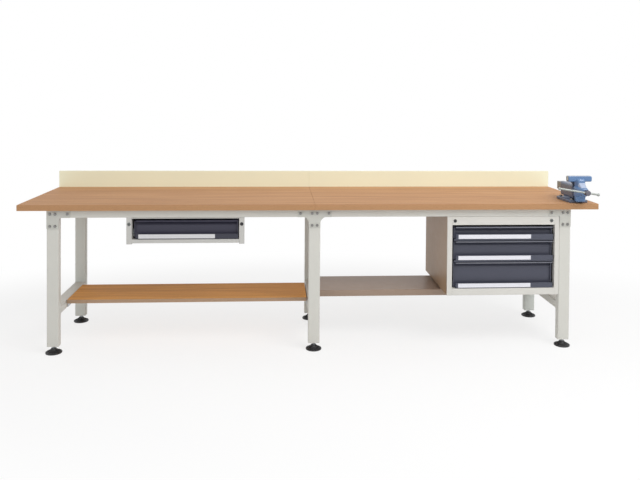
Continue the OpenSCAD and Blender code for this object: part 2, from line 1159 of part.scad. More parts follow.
// Casting with the fixed jaw in front and the slide's tunnel through it
module vise_body() {
    w = body_w / 2;
    n = neck_w / 2;
    z0 = screw_z - beam_h / 2;
    z1 = screw_z + body_top;
    color(C_CAST)
        at_vise() {
            difference() {
                union() {
                    translate([0, base_y, boss_h])
                        cylinder(r1 = boss_r - 2, r2 = boss_r - 10, h = turn_h, $fn = 64);
                    hull() {
                        block(-w, w, jaw_y + 12, body_y1, body_z, z1 - body_round);
                        block(
                            -w + body_round, w - body_round, jaw_y + 12, body_y1,
                            body_z - 6, z1
                        );
                    }
                    hull() {
                        block(
                            -jaw_w / 2, jaw_w / 2, jaw_y + vise_plate_t, jaw_y + 22,
                            jaw_z - jaw_head_h, jaw_z
                        );
                        block(-n, n, jaw_y + vise_plate_t, jaw_y + 40, z1 - 1, jaw_z - 14);
                    }
                }
                block(
                    -beam_w / 2 - rest, beam_w / 2 + rest, jaw_y - over, body_y1 + over,
                    z0 - rest, z0 + beam_h + rest
                );
            }
            nut_block(z0 - rest - over);
        }
}

// Block with the screw's thread, inside the slide
module nut_block(z0) {
    w = slot_w / 2 - 1;
    y1 = nut_y + nut_len;
    difference() {
        block(-w, w, nut_y, y1, z0, screw_z + screw_r + 4);
        translate([0, 0, screw_z])
            rod_y(screw_r + fit, nut_y - over, y1 + over);
    }
}

module vise_fixed_plate() {
    color(C_STEEL)
        at_vise()
            block(-jaw_w / 2, jaw_w / 2, jaw_y, jaw_y + vise_plate_t, jaw_z - vise_plate_h, jaw_z);
}

module vise_bolts() {
    color(C_BOLT)
        place()
            vise_bolt_places() {
                translate([0, 0, base_t])
                    cylinder(r = vise_nut_w / sqrt(3), h = vise_head_h, $fn = 6);
                translate([0, 0, -top_t - vise_nut_h - vise_thread_end])
                    cylinder(
                        r = vise_bolt_r, h = top_t + base_t + vise_nut_h + vise_thread_end + over,
                        $fn = 32
                    );
                translate([0, 0, -top_t - vise_nut_h])
                    cylinder(r = vise_nut_w / sqrt(3), h = vise_nut_h, $fn = 6);
            }
}

// Moving jaw: jaw block, neck, front housing and the slide that runs in the tunnel
module vise_jaw() {
    n = neck_w / 2;
    w = housing_w / 2;
    y0 = jaw_y - rest - vise_plate_t;
    z0 = screw_z - beam_h / 2;
    color(C_BLUE)
        at_vise()
            difference() {
                union() {
                    hull() {
                        block(-jaw_w / 2, jaw_w / 2, y0 - 14, y0, jaw_z - jaw_head_h, jaw_z);
                        block(-n, n, y0 - 30, y0, jaw_z - jaw_block_h - 6, jaw_z - 16);
                    }
                    hull() {
                        block(-n, n, y0 - 26, y0, screw_z, jaw_z - jaw_head_h);
                        block(-n + 3, n - 3, y0 - rib_out, y0, screw_z, screw_z + 22);
                    }
                    hull() {
                        block(-w, w, y0 - 24, y0, screw_z - 32, screw_z);
                        block(-w + 7, w - 7, y0 - 20, y0, apron_z, screw_z);
                    }
                    hull() {
                        block(-w, w, y0 - 24, y0, screw_z - 32, screw_z + 26);
                        block(
                            -w + 10, w - 10, head_y + head_len / 2 + collar_t, y0,
                            screw_z - 24, screw_z + 20
                        );
                    }
                    difference() {
                        block(-beam_w / 2, beam_w / 2, y0 - over, slide_y1, z0, z0 + beam_h);
                        block(
                            -slot_w / 2, slot_w / 2, y0 + 8, slide_y1 + over,
                            z0 - over, z0 + beam_h - beam_t
                        );
                    }
                }
                translate([0, 0, screw_z])
                    rod_y(screw_r + fit, head_y, y0 + 10);
            }
}

module vise_jaw_plate() {
    color(C_STEEL)
        at_vise()
            block(
                -jaw_w / 2, jaw_w / 2, jaw_y - rest - vise_plate_t, jaw_y - rest,
                jaw_z - vise_plate_h, jaw_z
            );
}

// The screw's rest turn puts the bar's hole at its tilt
module at_screw() {
    at_vise()
        translate([0, 0, screw_z])
            rotate([0, bar_tilt, 0])
                children();
}

module vise_screw() {
    color(C_STEEL)
        at_screw()
            difference() {
                union() {
                    rod_y(head_r, head_y - head_len / 2, head_y + head_len / 2);
                    rod_y(screw_r + 4, head_y, head_y + head_len / 2 + collar_t - rest);
                    rod_y(screw_r, head_y, slide_y1 - screw_in);
                }
                translate([-head_r - over, head_y, 0])
                    rotate([0, 90, 0])
                        cylinder(r = bar_r + fit, h = 2 * head_r + 2 * over, $fn = 32);
            }
}

module vise_bar() {
    color(C_STEEL)
        at_screw()
            translate([-bar_slid - bar_len / 2, head_y, 0])
                rotate([0, 90, 0]) {
                    cylinder(r = bar_r, h = bar_len, $fn = 32);
                    cylinder(r = knob_r, h = knob_len, $fn = 32);
                    translate([0, 0, bar_len - knob_len])
                        cylinder(r = knob_r, h = knob_len, $fn = 32);
                }
}

worktop_left();
worktop_right();
backboard_left();
backboard_right();
frame_left();
frame_middle();
frame_right();
front_rails();
rear_rails();
head_plates();
frame_bolts();
wood_screws();
wood_shelf();
shelf_angles();
steel_shelf();
drawer_housing();
cabinet_body();
hanging_strips();
runner_carriers();
runner_channels();
drawer_single();
handle_single();
label_single();
runners_single();
drawer_top();
handle_top();
label_top();
runners_top();
drawer_middle();
handle_middle();
label_middle();
runners_middle();
drawer_bottom();
handle_bottom();
label_bottom();
runners_bottom();
lock_sleeves();
lock_barrel_single();
lock_barrel_cabinet();
blank_plugs();
foot_pad_1();
foot_pad_2();
foot_pad_3();
foot_pad_4();
foot_pad_5();
foot_pad_6();
foot_stem_1();
foot_stem_2();
foot_stem_3();
foot_stem_4();
foot_stem_5();
foot_stem_6();
vise_base();
vise_body();
vise_fixed_plate();
vise_bolts();
vise_jaw();
vise_jaw_plate();
vise_screw();
vise_bar();
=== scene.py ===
import math
import random

import bmesh
import bpy
from mathutils import Matrix, Vector


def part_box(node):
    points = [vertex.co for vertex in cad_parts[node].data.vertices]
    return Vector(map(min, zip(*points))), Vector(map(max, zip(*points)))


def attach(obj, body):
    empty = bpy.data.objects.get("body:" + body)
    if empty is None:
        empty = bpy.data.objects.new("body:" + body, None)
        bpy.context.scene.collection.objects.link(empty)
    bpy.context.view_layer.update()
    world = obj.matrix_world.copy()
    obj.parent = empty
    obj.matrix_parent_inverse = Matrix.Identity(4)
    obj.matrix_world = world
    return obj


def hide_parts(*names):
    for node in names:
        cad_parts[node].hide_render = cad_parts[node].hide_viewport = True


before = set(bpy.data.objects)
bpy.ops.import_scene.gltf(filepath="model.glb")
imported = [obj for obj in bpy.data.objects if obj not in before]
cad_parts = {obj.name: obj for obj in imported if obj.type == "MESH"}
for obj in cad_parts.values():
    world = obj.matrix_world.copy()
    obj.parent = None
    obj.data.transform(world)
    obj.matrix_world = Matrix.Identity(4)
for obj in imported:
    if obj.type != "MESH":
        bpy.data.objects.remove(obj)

# A two-bay workbench in a white studio. Metres, Z up, the front looks along -Y.

mm = 0.001
random.seed(41)
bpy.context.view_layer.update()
scene = bpy.context.scene
scene.view_settings.view_transform = "Standard"
print("frame loaded:", len(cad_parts), "nodes")


def millimetres(value):
    # turns numbers given in mm into metres, also inside dictionaries and rows
    if isinstance(value, dict):
        return {key: millimetres(part) for key, part in value.items()}
    if isinstance(value, (list, tuple)):
        return [millimetres(part) for part in value]
    return value * mm


# Camera

photoCamera = {
    "place": (-0.19597, -3.83468, 1.33429),
    "turn": -0.0616,  # radians about Z, from looking along +Y
    "tip": 0.02,  # radians downwards
    "lean": 0.0075,  # radians about the line of sight
    "lens": 38.73,  # on a sensor 36 mm wide
    "shiftY": -0.2065,
}


def addCamera(s):
    data = bpy.data.cameras.new("photoCamera")
    data.lens = s["lens"]
    data.sensor_width = 36
    data.shift_y = s["shiftY"]
    camera = bpy.data.objects.new("photoCamera", data)
    scene.collection.objects.link(camera)
    turns = ((s["turn"], "Z"), (math.pi / 2 - s["tip"], "X"), (s["lean"], "Z"))
    camera.matrix_world = Matrix.Translation(s["place"])
    for angle, axis in turns:
        camera.matrix_world = camera.matrix_world @ Matrix.Rotation(angle, 4, axis)
    scene.camera = camera


addCamera(photoCamera)


# Materials

def linear(code):
    parts = [int(code[i:i + 2], 16) / 255 for i in (1, 3, 5)]
    return [c / 12.92 if c <= 0.04045 else ((c + 0.055) / 1.055) ** 2.4 for c in parts] + [1.0]


def addNode(tree, kind, settings=None, links=None):
    # a setting goes to the node or to its input; a linked node stands for its first output
    node = tree.nodes.new("ShaderNode" + kind)
    for key, value in (settings or {}).items():
        if key == "stops":
            stops = node.color_ramp.elements
            while len(stops) < len(value):
                stops.new(0.5)
            for stop, (place, colour) in zip(stops, value):
                stop.position = place
                stop.color = linear(colour)
        elif isinstance(key, str) and hasattr(node, key):
            setattr(node, key, value)
        else:
            node.inputs[key].default_value = value
    for key, source in (links or {}).items():
        tree.links.new(source.outputs[0] if hasattr(source, "outputs") else source, node.inputs[key])
    return node


def startMaterial(name, roughness, metallic=0.0, ior=1.5):
    material = bpy.data.materials.new(name)
    material.use_nodes = True
    tree = material.node_tree
    shader = tree.nodes["Principled BSDF"]
    shader.inputs["Roughness"].default_value = roughness
    shader.inputs["Metallic"].default_value = metallic
    if not metallic:
        shader.inputs["IOR"].default_value = ior
    addNode(tree, "TexCoord", {"name": "place"})
    return material


def addPattern(material, settings, stretch=None, place=None, kind="TexNoise"):
    # a pattern in the piece's own coordinates, where no other place is given
    tree = material.node_tree
    place = place or tree.nodes["place"].outputs["Object"]
    if stretch:
        place = addNode(tree, "Mapping", {"Scale": stretch}, {"Vector": place})
    return addNode(tree, kind, settings, {"Vector": place})


def tint(tree, base, tone, low, high):
    # the base colour is multiplied by a grey between low and high, which follows the tone
    grey = addNode(tree, "MapRange", {"To Min": low, "To Max": high}, {"Value": tone})
    settings = {"data_type": "RGBA", "blend_type": "MULTIPLY", 0: 1.0}
    links = {7: grey}
    if isinstance(base, str):
        settings[6] = linear(base)
    else:
        links[6] = base
    return addNode(tree, "Mix", settings, links).outputs[2]


def layCoat(material, colour, tone, relief, gloss=None):
    # tone and gloss: a pattern and the values it runs between; relief: a pattern, its depth and strength
    tree = material.node_tree
    shader = tree.nodes["Principled BSDF"]
    tree.links.new(tint(tree, colour, *tone), shader.inputs["Base Color"])
    if gloss:
        pattern, low, high = gloss
        rough = addNode(tree, "MapRange", {"To Min": low, "To Max": high}, {"Value": pattern})
        tree.links.new(rough.outputs[0], shader.inputs["Roughness"])
    pattern, depth, strength = relief
    bump = addNode(tree, "Bump", {"Strength": strength, "Distance": depth}, {"Height": pattern})
    tree.links.new(bump.outputs["Normal"], shader.inputs["Normal"])
    return material


def oiledBeech(name, colours, plyColours, floor, thickness, plies, leafWidth):
    # Oiled beech face veneer on cross-laid plies: warm, low sheen, long soft figure along X,
    # short dark pores, and light and dark bands where the edges cut the plies
    material = startMaterial(name, 0.5, ior=1.30)
    tree = material.node_tree
    place = tree.nodes["place"].outputs["Object"]
    xyz = addNode(tree, "SeparateXYZ", links={0: place})
    # veneer leaves, each with its own tone and its own cut of the figure
    leaf = addNode(tree, "Math", {"operation": "DIVIDE", 1: leafWidth}, {0: xyz.outputs["Y"]})
    leafIndex = addNode(tree, "Math", {"operation": "FLOOR"}, {0: leaf})
    leafTone = addNode(tree, "TexWhiteNoise", {"noise_dimensions": "1D"}, {"W": leafIndex}).outputs["Value"]
    leafShift = addNode(tree, "CombineXYZ", links={"X": leafTone})
    shifted = addNode(tree, "VectorMath", {"operation": "MULTIPLY_ADD", 1: (1, 1, 1)},
                      {0: place, 2: leafShift})
    figure = addPattern(material, {"Scale": 1.0, "Detail": 7.0, "Roughness": 0.62, "Distortion": 0.9},
                        (1.1, 17, 17), shifted)
    # growth rings 4 mm apart on the face, drawn that coarse so that they show from a step away
    rings = addPattern(material, {"Scale": 1.0, "Detail": 3.0, "Roughness": 0.5}, (4, 260, 260), shifted)
    # pores: dashes 0.8 mm wide and 9 mm long
    pores = addPattern(material, {"Scale": 1.0, "Detail": 1.0}, (110, 1250, 1250))
    poreMask = addNode(tree, "MapRange", {"From Min": 0.58, "From Max": 0.70}, {"Value": pores})
    figurePart = addNode(tree, "Math", {"operation": "MULTIPLY", 1: 0.65}, {0: figure})
    blend = addNode(tree, "Math", {"operation": "MULTIPLY_ADD", 1: 0.35}, {0: rings, 2: figurePart})
    face = addNode(tree, "ValToRGB", {"stops": list(zip((0.30, 0.47, 0.58, 0.72), colours))}, {"Fac": blend})
    toned = tint(tree, face.outputs[0], leafTone, 0.955, 1.035)
    # the cut edge: plies by height, each a little uneven along its run
    height = addNode(tree, "MapRange", {"From Min": floor, "From Max": floor + thickness, "To Max": plies},
                     {"Value": xyz.outputs["Z"]})
    waver = addPattern(material, {"Scale": 9.0, "Detail": 2.0})
    layer = addNode(tree, "Math", {"operation": "MULTIPLY_ADD", 1: 0.16}, {0: waver, 2: height})
    parity = addNode(tree, "Math", {"operation": "PINGPONG", 1: 1.0}, {0: layer})
    speckle = addPattern(material, {"Scale": 700.0, "Detail": 2.0})
    uneven = addNode(tree, "Math", {"operation": "MULTIPLY_ADD", 1: 0.35}, {0: speckle, 2: parity})
    ply = addNode(tree, "ValToRGB", {"stops": list(zip((0.25, 0.55, 0.95), plyColours))}, {"Fac": uneven})
    normal = addNode(tree, "SeparateXYZ", links={0: addNode(tree, "TexCoord").outputs["Normal"]})
    flatness = addNode(tree, "Math", {"operation": "ABSOLUTE"}, {0: normal.outputs["Z"]})
    onFace = addNode(tree, "MapRange", {"From Min": 0.55, "From Max": 0.75}, {"Value": flatness})
    board = addNode(tree, "Mix", {"data_type": "RGBA"}, {0: onFace, 6: ply, 7: toned}).outputs[2]
    relief = addNode(tree, "Math", {"operation": "SUBTRACT"}, {0: rings, 1: poreMask})
    return layCoat(material, board, (poreMask, 1.0, 0.80), (relief, 0.12 * mm, 0.6), (figure, 0.52, 0.68))


def powderCoat(name, colour, roughness, peel=1.7 * mm, cloud=0.035):
    # Polyester powder baked on steel: even satin paint with a fine orange peel and faint handling marks
    material = startMaterial(name, roughness)
    clouds = addPattern(material, {"Scale": 4.0, "Detail": 4.0})
    skin = addPattern(material, {"Scale": 1 / peel, "Detail": 2.0, "Roughness": 0.45})
    wipes = addPattern(material, {"Scale": 23.0, "Detail": 5.0, "Roughness": 0.6})
    return layCoat(material, colour, (clouds, 1 - cloud, 1 + cloud), (skin, 0.09 * mm, 0.55),
                   (wipes, roughness - 0.07, roughness + 0.07))


def bareMetal(name, colour, roughness, stretch, spread=0.10, depth=0.03 * mm):
    # Steel with a surface left by a tool or a bath: streaks or grains along the stretch, with uneven gloss
    material = startMaterial(name, roughness, metallic=1.0)
    lay = addPattern(material, {"Scale": 1.0, "Detail": 4.0, "Roughness": 0.6}, stretch)
    return layCoat(material, colour, (lay, 1 - spread, 1 + spread), (lay, depth, 0.5),
                   (lay, roughness - 0.08, roughness + 0.10))


def galvanisedSheet(name, colour):
    # Hot-dip zinc on strip steel: dull grey metal with crystal flakes about 9 mm across
    material = startMaterial(name, 0.42, metallic=1.0)
    flakes = addPattern(material, {"Scale": 1 / (9 * mm)}, kind="TexVoronoi")
    flake = addNode(material.node_tree, "SeparateColor", links={0: flakes.outputs["Color"]})
    grain = addPattern(material, {"Scale": 1 / (0.8 * mm), "Detail": 2.0})
    return layCoat(material, colour, (flake, 0.88, 1.06), (grain, 0.03 * mm, 0.4),
                   (flake.outputs[1], 0.34, 0.52))


def castPaint(name, colour, roughness):
    # Enamel over sand-cast iron: glossy paint that follows the coarse grain of the mould
    material = startMaterial(name, roughness, ior=1.52)
    grit = addPattern(material, {"Scale": 1 / (2.6 * mm), "Detail": 5.0, "Roughness": 0.6})
    clouds = addPattern(material, {"Scale": 30.0, "Detail": 3.0})
    return layCoat(material, colour, (clouds, 0.88, 1.10), (grit, 0.45 * mm, 0.7))


def mouldedPlastic(name, colour, roughness):
    # Injection-moulded polyamide: matt black with an eroded texture from the mould
    material = startMaterial(name, roughness, ior=1.53)
    pits = addPattern(material, {"Scale": 1 / (0.9 * mm), "Detail": 3.0})
    dust = addPattern(material, {"Scale": 60.0, "Detail": 4.0})
    return layCoat(material, colour, (dust, 0.75, 1.35), (pits, 0.08 * mm, 0.6))


def melamineBoard(name, colour):
    # Cream melamine film on particle board: even colour, faint pearl texture 2 mm across
    material = startMaterial(name, 0.42)
    haze = addPattern(material, {"Scale": 2.2, "Detail": 3.0})
    pearl = addPattern(material, {"Scale": 1 / (2 * mm)}, kind="TexVoronoi")
    return layCoat(material, colour, (haze, 0.975, 1.02), (pearl, 0.05 * mm, 0.35))


def labelCard(name, colour):
    # White card strip: dry paper with a faint fibre mottle
    material = startMaterial(name, 0.62, ior=1.45)
    fibre = addPattern(material, {"Scale": 1 / (1.5 * mm), "Detail": 3.0})
    return layCoat(material, colour, (fibre, 0.985, 1.01), (fibre, 0.03 * mm, 0.3))


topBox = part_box("worktop_left")
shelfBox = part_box("wood_shelf")
finish = {
    "beechTop": oiledBeech("oiledBeechTop", ("#A97B54", "#BB8B62", "#C6976D", "#D1A47A"),
                           ("#99714D", "#B2865E", "#C39770"), topBox[0].z, 30 * mm, 15, 118 * mm),
    "beechShelf": oiledBeech("oiledBeechShelf", ("#B97E3C", "#CF9049", "#DD9F53", "#EBAE60"),
                             ("#8F765F", "#AA8C73", "#BEA186"), shelfBox[0].z, 20 * mm, 11, 145 * mm),
    "cream": melamineBoard("creamMelamine", "#F6F5D8"),
    "greyPaint": powderCoat("greyPowderCoat", "#CFCEC7", 0.46),
    # painted light: a lighter, bluer copy of the leg paint for the rear legs, which stand in the shade under
    # the bench
    "litRearPaint": powderCoat("paintedLightRearPowderCoat", "#D8DCD7", 0.46),
    "platePaint": powderCoat("greyPlatePowderCoat", "#C3C3BC", 0.42, 2.4 * mm, 0.06),
    "unitPaint": powderCoat("lightPowderCoat", "#D2D0CA", 0.44),
    # painted shade: a darker copy of the light unit paint for the single drawer's housing, which hangs under
    # the worktop
    "shadedHousingPaint": powderCoat("paintedShadeHousingPowderCoat", "#C0BFBB", 0.44),
    "drawerPaint": powderCoat("blueGreyPowderCoat", "#454755", 0.40),
    "railPaint": powderCoat("blueGreyRailCoat", "#484B59", 0.36, 1.2 * mm),
    # painted shade: darker copies of the drawer and rail paints for the single drawer under the worktop
    "shadedDrawerPaint": powderCoat("paintedShadeBlueGreyPowderCoat", "#353445", 0.46),
    "shadedRailPaint": powderCoat("paintedShadeBlueGreyRailCoat", "#30313E", 0.42, 1.2 * mm),
    "shelfPaint": powderCoat("warmGreyPowderCoat", "#9B8675", 0.42),
    # painted shade and painted reflection: a darker, browner copy of the grey paint for the cabinet's left
    # side, standing in for its shade and the warm light from the wooden worktop
    "shadeAndReflectionSidePaint": powderCoat("paintedShadeAndReflectionSidePowderCoat", "#987A5A", 0.44),
    "label": labelCard("whiteLabelCard", "#E2E2E9"),
    # painted shade: a greyer copy of the white label card for the single drawer
    "shadedLabel": labelCard("paintedShadeLabelCard", "#D3D3D5"),
    "bolt": bareMetal("zincedBolt", "#8C8B89", 0.42, (300, 300, 300), 0.18),
    "zinc": galvanisedSheet("galvanisedSheet", "#BFC2C6"),
    "chrome": bareMetal("chromedLockRim", "#8D8F8F", 0.24, (200, 200, 200), 0.04, 0.01 * mm),
    "barrel": bareMetal("turnedLockSteel", "#5F615F", 0.36, (900, 60, 900)),
    "ground": bareMetal("groundSteel", "#C2C5C8", 0.28, (260, 260, 260), 0.08),
    "turned": bareMetal("turnedSteel", "#9EA29E", 0.42, (260, 260, 260)),
    "screwSteel": bareMetal("oiledScrewSteel", "#77757D", 0.38, (260, 260, 260), 0.16),
    "thread": bareMetal("zincedThread", "#B9BCC0", 0.33, (400, 400, 120), 0.12),
    "black": mouldedPlastic("blackPolyamide", "#1E1E20", 0.48),
    "greyCast": castPaint("slateCastEnamel", "#5C657A", 0.34),
    "slide": bareMetal("machinedSlideSteel", "#8C8E90", 0.42, (300, 40, 300), 0.12),
    "blueCast": castPaint("blueCastEnamel", "#6080AA", 0.22),
    # painted highlight: a pale copy of the blue enamel on the vise jaw's sloping rib, standing in for the glint
    # of the bright surroundings
    "highlightCast": castPaint("paintedHighlightCastEnamel", "#A9B5CC", 0.26),
}
print("finishes made:", len(finish))


# Mesh tools. Each adds one closed shape to a bmesh.

def mergeInto(bm, part, matrix=None):
    bmesh.ops.recalc_face_normals(part, faces=part.faces[:])
    if matrix:
        bmesh.ops.transform(part, matrix=matrix, verts=part.verts[:])
    mesh = bpy.data.meshes.new("part")
    part.to_mesh(mesh)
    part.free()
    bm.from_mesh(mesh)
    bpy.data.meshes.remove(mesh)


def fitCube(bm, lo, hi):
    bmesh.ops.create_cube(bm, size=1)
    for vert in bm.verts:
        vert.co = Vector([lo[i] + (vert.co[i] + 0.5) * (hi[i] - lo[i]) for i in range(3)])


def addBox(bm, lo, hi, radius=0.8 * mm, segments=2):
    part = bmesh.new()
    fitCube(part, lo, hi)
    limit = 0.45 * min(hi[i] - lo[i] for i in range(3))
    bmesh.ops.bevel(part, geom=part.edges[:], offset=min(radius, limit), segments=segments,
                    profile=0.5, affect="EDGES")
    mergeInto(bm, part)


def addSkin(bm, rings, closed=False, caps=False, matrix=None):
    # faces between neighbouring rings of points; a ring of one point is a tip
    part = bmesh.new()
    rings = [[part.verts.new(point) for point in ring] for ring in rings]
    for a, b in zip(rings, rings[1:] + rings[:closed]):
        count = max(len(a), len(b))
        for i in range(count if count > 1 else 0):
            j = (i + 1) % count
            if len(a) == 1:
                part.faces.new((a[0], b[j], b[i]))
            elif len(b) == 1:
                part.faces.new((a[i], a[j], b[0]))
            else:
                part.faces.new((a[i], a[j], b[j], b[i]))
    if caps:
        part.faces.new(rings[0])
        part.faces.new(rings[-1])
    mergeInto(bm, part, matrix)


def onAxis(axis, outline, along):
    # outline points (u, v) seen along an axis: X gives (y, z), Y gives (x, z), Z gives (x, y)
    order = {"X": (2, 0, 1), "Y": (0, 2, 1), "Z": (0, 1, 2)}[axis]
    return [[(u, v, along)[i] for i in order] for u, v in outline]


def addPrism(bm, outline, start, end, axis, chamfer=0.0):
    # an outline drawn out along an axis, with its rims chamfered by moving them inwards
    steps = [(start, chamfer), (start + chamfer, 0), (end - chamfer, 0), (end, chamfer)]
    steps = steps if chamfer else [(start, 0), (end, 0)]
    rings = [onAxis(axis, insetOutline(outline, inset) if inset else outline, along)
             for along, inset in steps]
    addSkin(bm, rings, caps=True)


def insetOutline(outline, inset):
    area = sum(a[0] * b[1] - b[0] * a[1] for a, b in zip(outline, outline[1:] + outline[:1]))
    turn = 1 if area > 0 else -1
    result = []
    for i, point in enumerate(outline):
        before = Vector(point) - Vector(outline[i - 1])
        after = Vector(outline[(i + 1) % len(outline)]) - Vector(point)
        n1 = Vector((-before.y, before.x)).normalized() * turn
        n2 = Vector((-after.y, after.x)).normalized() * turn
        middle = n1 + n2
        middle = middle / max(middle.length_squared / 2, 0.3)
        result.append(tuple(Vector(point) + middle * inset))
    return result


def roundCorners(points, radius, steps=4, closed=True):
    # replaces each corner of an outline, or of an open line, by an arc
    result = []
    count = len(points)
    for i in range(count):
        p = Vector(points[i])
        if not closed and i in (0, count - 1):
            result.append(tuple(p))
            continue
        a = (Vector(points[i - 1]) - p)
        b = (Vector(points[(i + 1) % count]) - p)
        r = radius[i] if isinstance(radius, (list, tuple)) else radius
        half = a.angle(b) / 2
        cut = min(r / math.tan(half), a.length * 0.48, b.length * 0.48)
        start, end = p + a.normalized() * cut, p + b.normalized() * cut
        if cut < 1e-6:
            result.append(tuple(p))
            continue
        for k in range(steps + 1):
            t = k / steps
            result.append(tuple(start * (1 - t) ** 2 + p * 2 * t * (1 - t) + end * t ** 2))
    return result


def rectangle(u0, v0, u1, v1, radius, steps=4):
    return roundCorners([(u0, v0), (u1, v0), (u1, v1), (u0, v1)], radius, steps)


def hollow(u0, v0, u1, v1, wall, corner, steps, shrink=0):
    # outer and inner outline of a rectangular tube, the outer one drawn in a little at both sides
    return (rectangle(u0 + shrink, v0, u1 - shrink, v1, corner, steps),
            rectangle(u0 + wall, v0 + wall, u1 - wall, v1 - wall, corner - wall, steps))


def addTube(bm, outlines, start, end, axis, lip=0.3 * mm):
    outer, inner = outlines
    rim = insetOutline(outer, lip)
    steps = ((rim, start), (outer, start + lip), (outer, end - lip), (rim, end), (inner, end), (inner, start))
    addSkin(bm, [onAxis(axis, outline, along) for outline, along in steps], closed=True)


def addFold(bm, line, thickness, bend, start, end, axis="X"):
    # a folded sheet along an axis: its outer skin follows the line, the sheet lies on the line's left
    outer = roundCorners(line, bend, closed=False)
    inner = []
    for i, point in enumerate(outer):
        p = Vector(point)
        before = p - Vector(outer[i - 1]) if i else Vector(outer[1]) - p
        after = Vector(outer[i + 1]) - p if i < len(outer) - 1 else before
        n = (Vector((-before.y, before.x)).normalized() + Vector((-after.y, after.x)).normalized()) / 2
        inner.append(tuple(p + n / max(n.length_squared, 0.5) * thickness))
    addPrism(bm, outer + inner[::-1], start, end, axis)


def addLathe(bm, profile, place, axis="Z", segments=48, shape=None):
    # profile points are (radius, height); shape(angle, radius, height) may change the radius
    rings = []
    for radius, height in profile:
        ring = [(0, 0, height)]
        if radius > 1e-7:
            angles = [2 * math.pi * i / segments for i in range(segments)]
            radii = [shape(angle, radius, height) if shape else radius for angle in angles]
            ring = [(r * math.cos(angle), r * math.sin(angle), height) for r, angle in zip(radii, angles)]
        rings.append(ring)
    if isinstance(axis, str):
        turns = {"Z": (0, "X"), "Y": (-1, "X"), "-Y": (1, "X"), "X": (1, "Y"), "-X": (-1, "Y")}
        quarters, about = turns[axis]
        axis = Matrix.Rotation(quarters * math.pi / 2, 4, about)
    addSkin(bm, rings, matrix=Matrix.Translation(place) @ axis)


def addLoft(bm, x, y, z, rows):
    # a casting through rounded sections, each with its distance from y, half its width below and above,
    # its lower and upper height over z, and its corner, in mm
    rings = []
    for away, low, high, z0, z1, corner in millimetres(rows):
        outline = [(x - low, z + z0), (x + low, z + z0), (x + high, z + z1), (x - high, z + z1)]
        rings.append(onAxis("Y", roundCorners(outline, corner, 6), y + away))
    addSkin(bm, rings, caps=True)


def addBead(bm, points, radius, sides=7):
    # a weld bead round a loop of points, with the small waves of its ripples
    rings = []
    for i, point in enumerate(points):
        ahead = Vector(points[(i + 1) % len(points)]) - Vector(points[i - 1])
        side = ahead.cross(Vector((0.3, 0.2, 1))).normalized()
        other = ahead.cross(side).normalized()
        r = radius * (1 + 0.12 * math.sin(i * 2.1)) * random.uniform(0.94, 1.06)
        rings.append([Vector(point) + side * r * math.cos(a) + other * r * math.sin(a)
                      for a in (2 * math.pi * k / sides for k in range(sides))])
    addSkin(bm, rings, closed=True)


def alongLoop(corners, step):
    # evenly spaced points round a closed loop
    result = []
    for a, b in zip(corners, corners[1:] + corners[:1]):
        a, b = Vector(a), Vector(b)
        count = max(1, round((b - a).length / step))
        result += [a.lerp(b, k / count) for k in range(count)]
    return result


def makePiece(name, bm, material, body, nodes=(), sharpAngle=38, weld=True):
    if weld:
        bmesh.ops.remove_doubles(bm, verts=bm.verts[:], dist=1e-6)
    for face in bm.faces:
        face.smooth = True
    for edge in bm.edges:
        edge.smooth = len(edge.link_faces) != 2 or edge.calc_face_angle() < math.radians(sharpAngle)
    mesh = bpy.data.meshes.new(name)
    bm.to_mesh(mesh)
    bm.free()
    mesh.materials.append(finish[material])
    piece = bpy.data.objects.new(name, mesh)
    scene.collection.objects.link(piece)
    weights = piece.modifiers.new("weights", "WEIGHTED_NORMAL")
    weights.keep_sharp = True
    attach(piece, body)
    if nodes:
        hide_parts(*nodes)
    return piece


def cutAway(piece, cutter):
    # takes a bmesh out of a piece and keeps the result as its mesh
    mesh = bpy.data.meshes.new("cutter")
    cutter.to_mesh(mesh)
    cutter.free()
    tool = bpy.data.objects.new("cutter", mesh)
    scene.collection.objects.link(tool)
    cut = piece.modifiers.new("cut", "BOOLEAN")
    cut.object = tool
    cut.solver = "EXACT"
    cut.use_self = True  # the castings are made of shapes that overlap
    weights = piece.modifiers["weights"]
    weights.show_viewport = False
    bpy.context.view_layer.update()
    result = bpy.data.meshes.new_from_object(piece.evaluated_get(bpy.context.evaluated_depsgraph_get()))
    piece.modifiers.remove(cut)
    weights.show_viewport = True
    piece.data = result
    bpy.data.objects.remove(tool)
    for polygon in result.polygons:
        polygon.use_smooth = True
    bm = bmesh.new()
    bm.from_mesh(result)
    for edge in bm.edges:
        edge.smooth = len(edge.link_faces) == 2 and edge.calc_face_angle() < math.radians(30)
    bm.to_mesh(result)
    bm.free()


def middleOf(name):
    lo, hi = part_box(name)
    return [(lo[i] + hi[i]) / 2 for i in range(3)]


def finishNodes(material, slot, *nodes):
    for node in nodes:
        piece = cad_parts[node]
        piece.data.materials.clear()
        piece.data.materials.append(finish[material])


# Worktop and backboard

sides = ("left", "middle", "right")
worktop = millimetres({"edgeRound": 1.6, "backRound": 1.0, "screwHole": 2.6, "screwHead": 4.6,
                       "holeDepth": 12, "screwInset": 110})


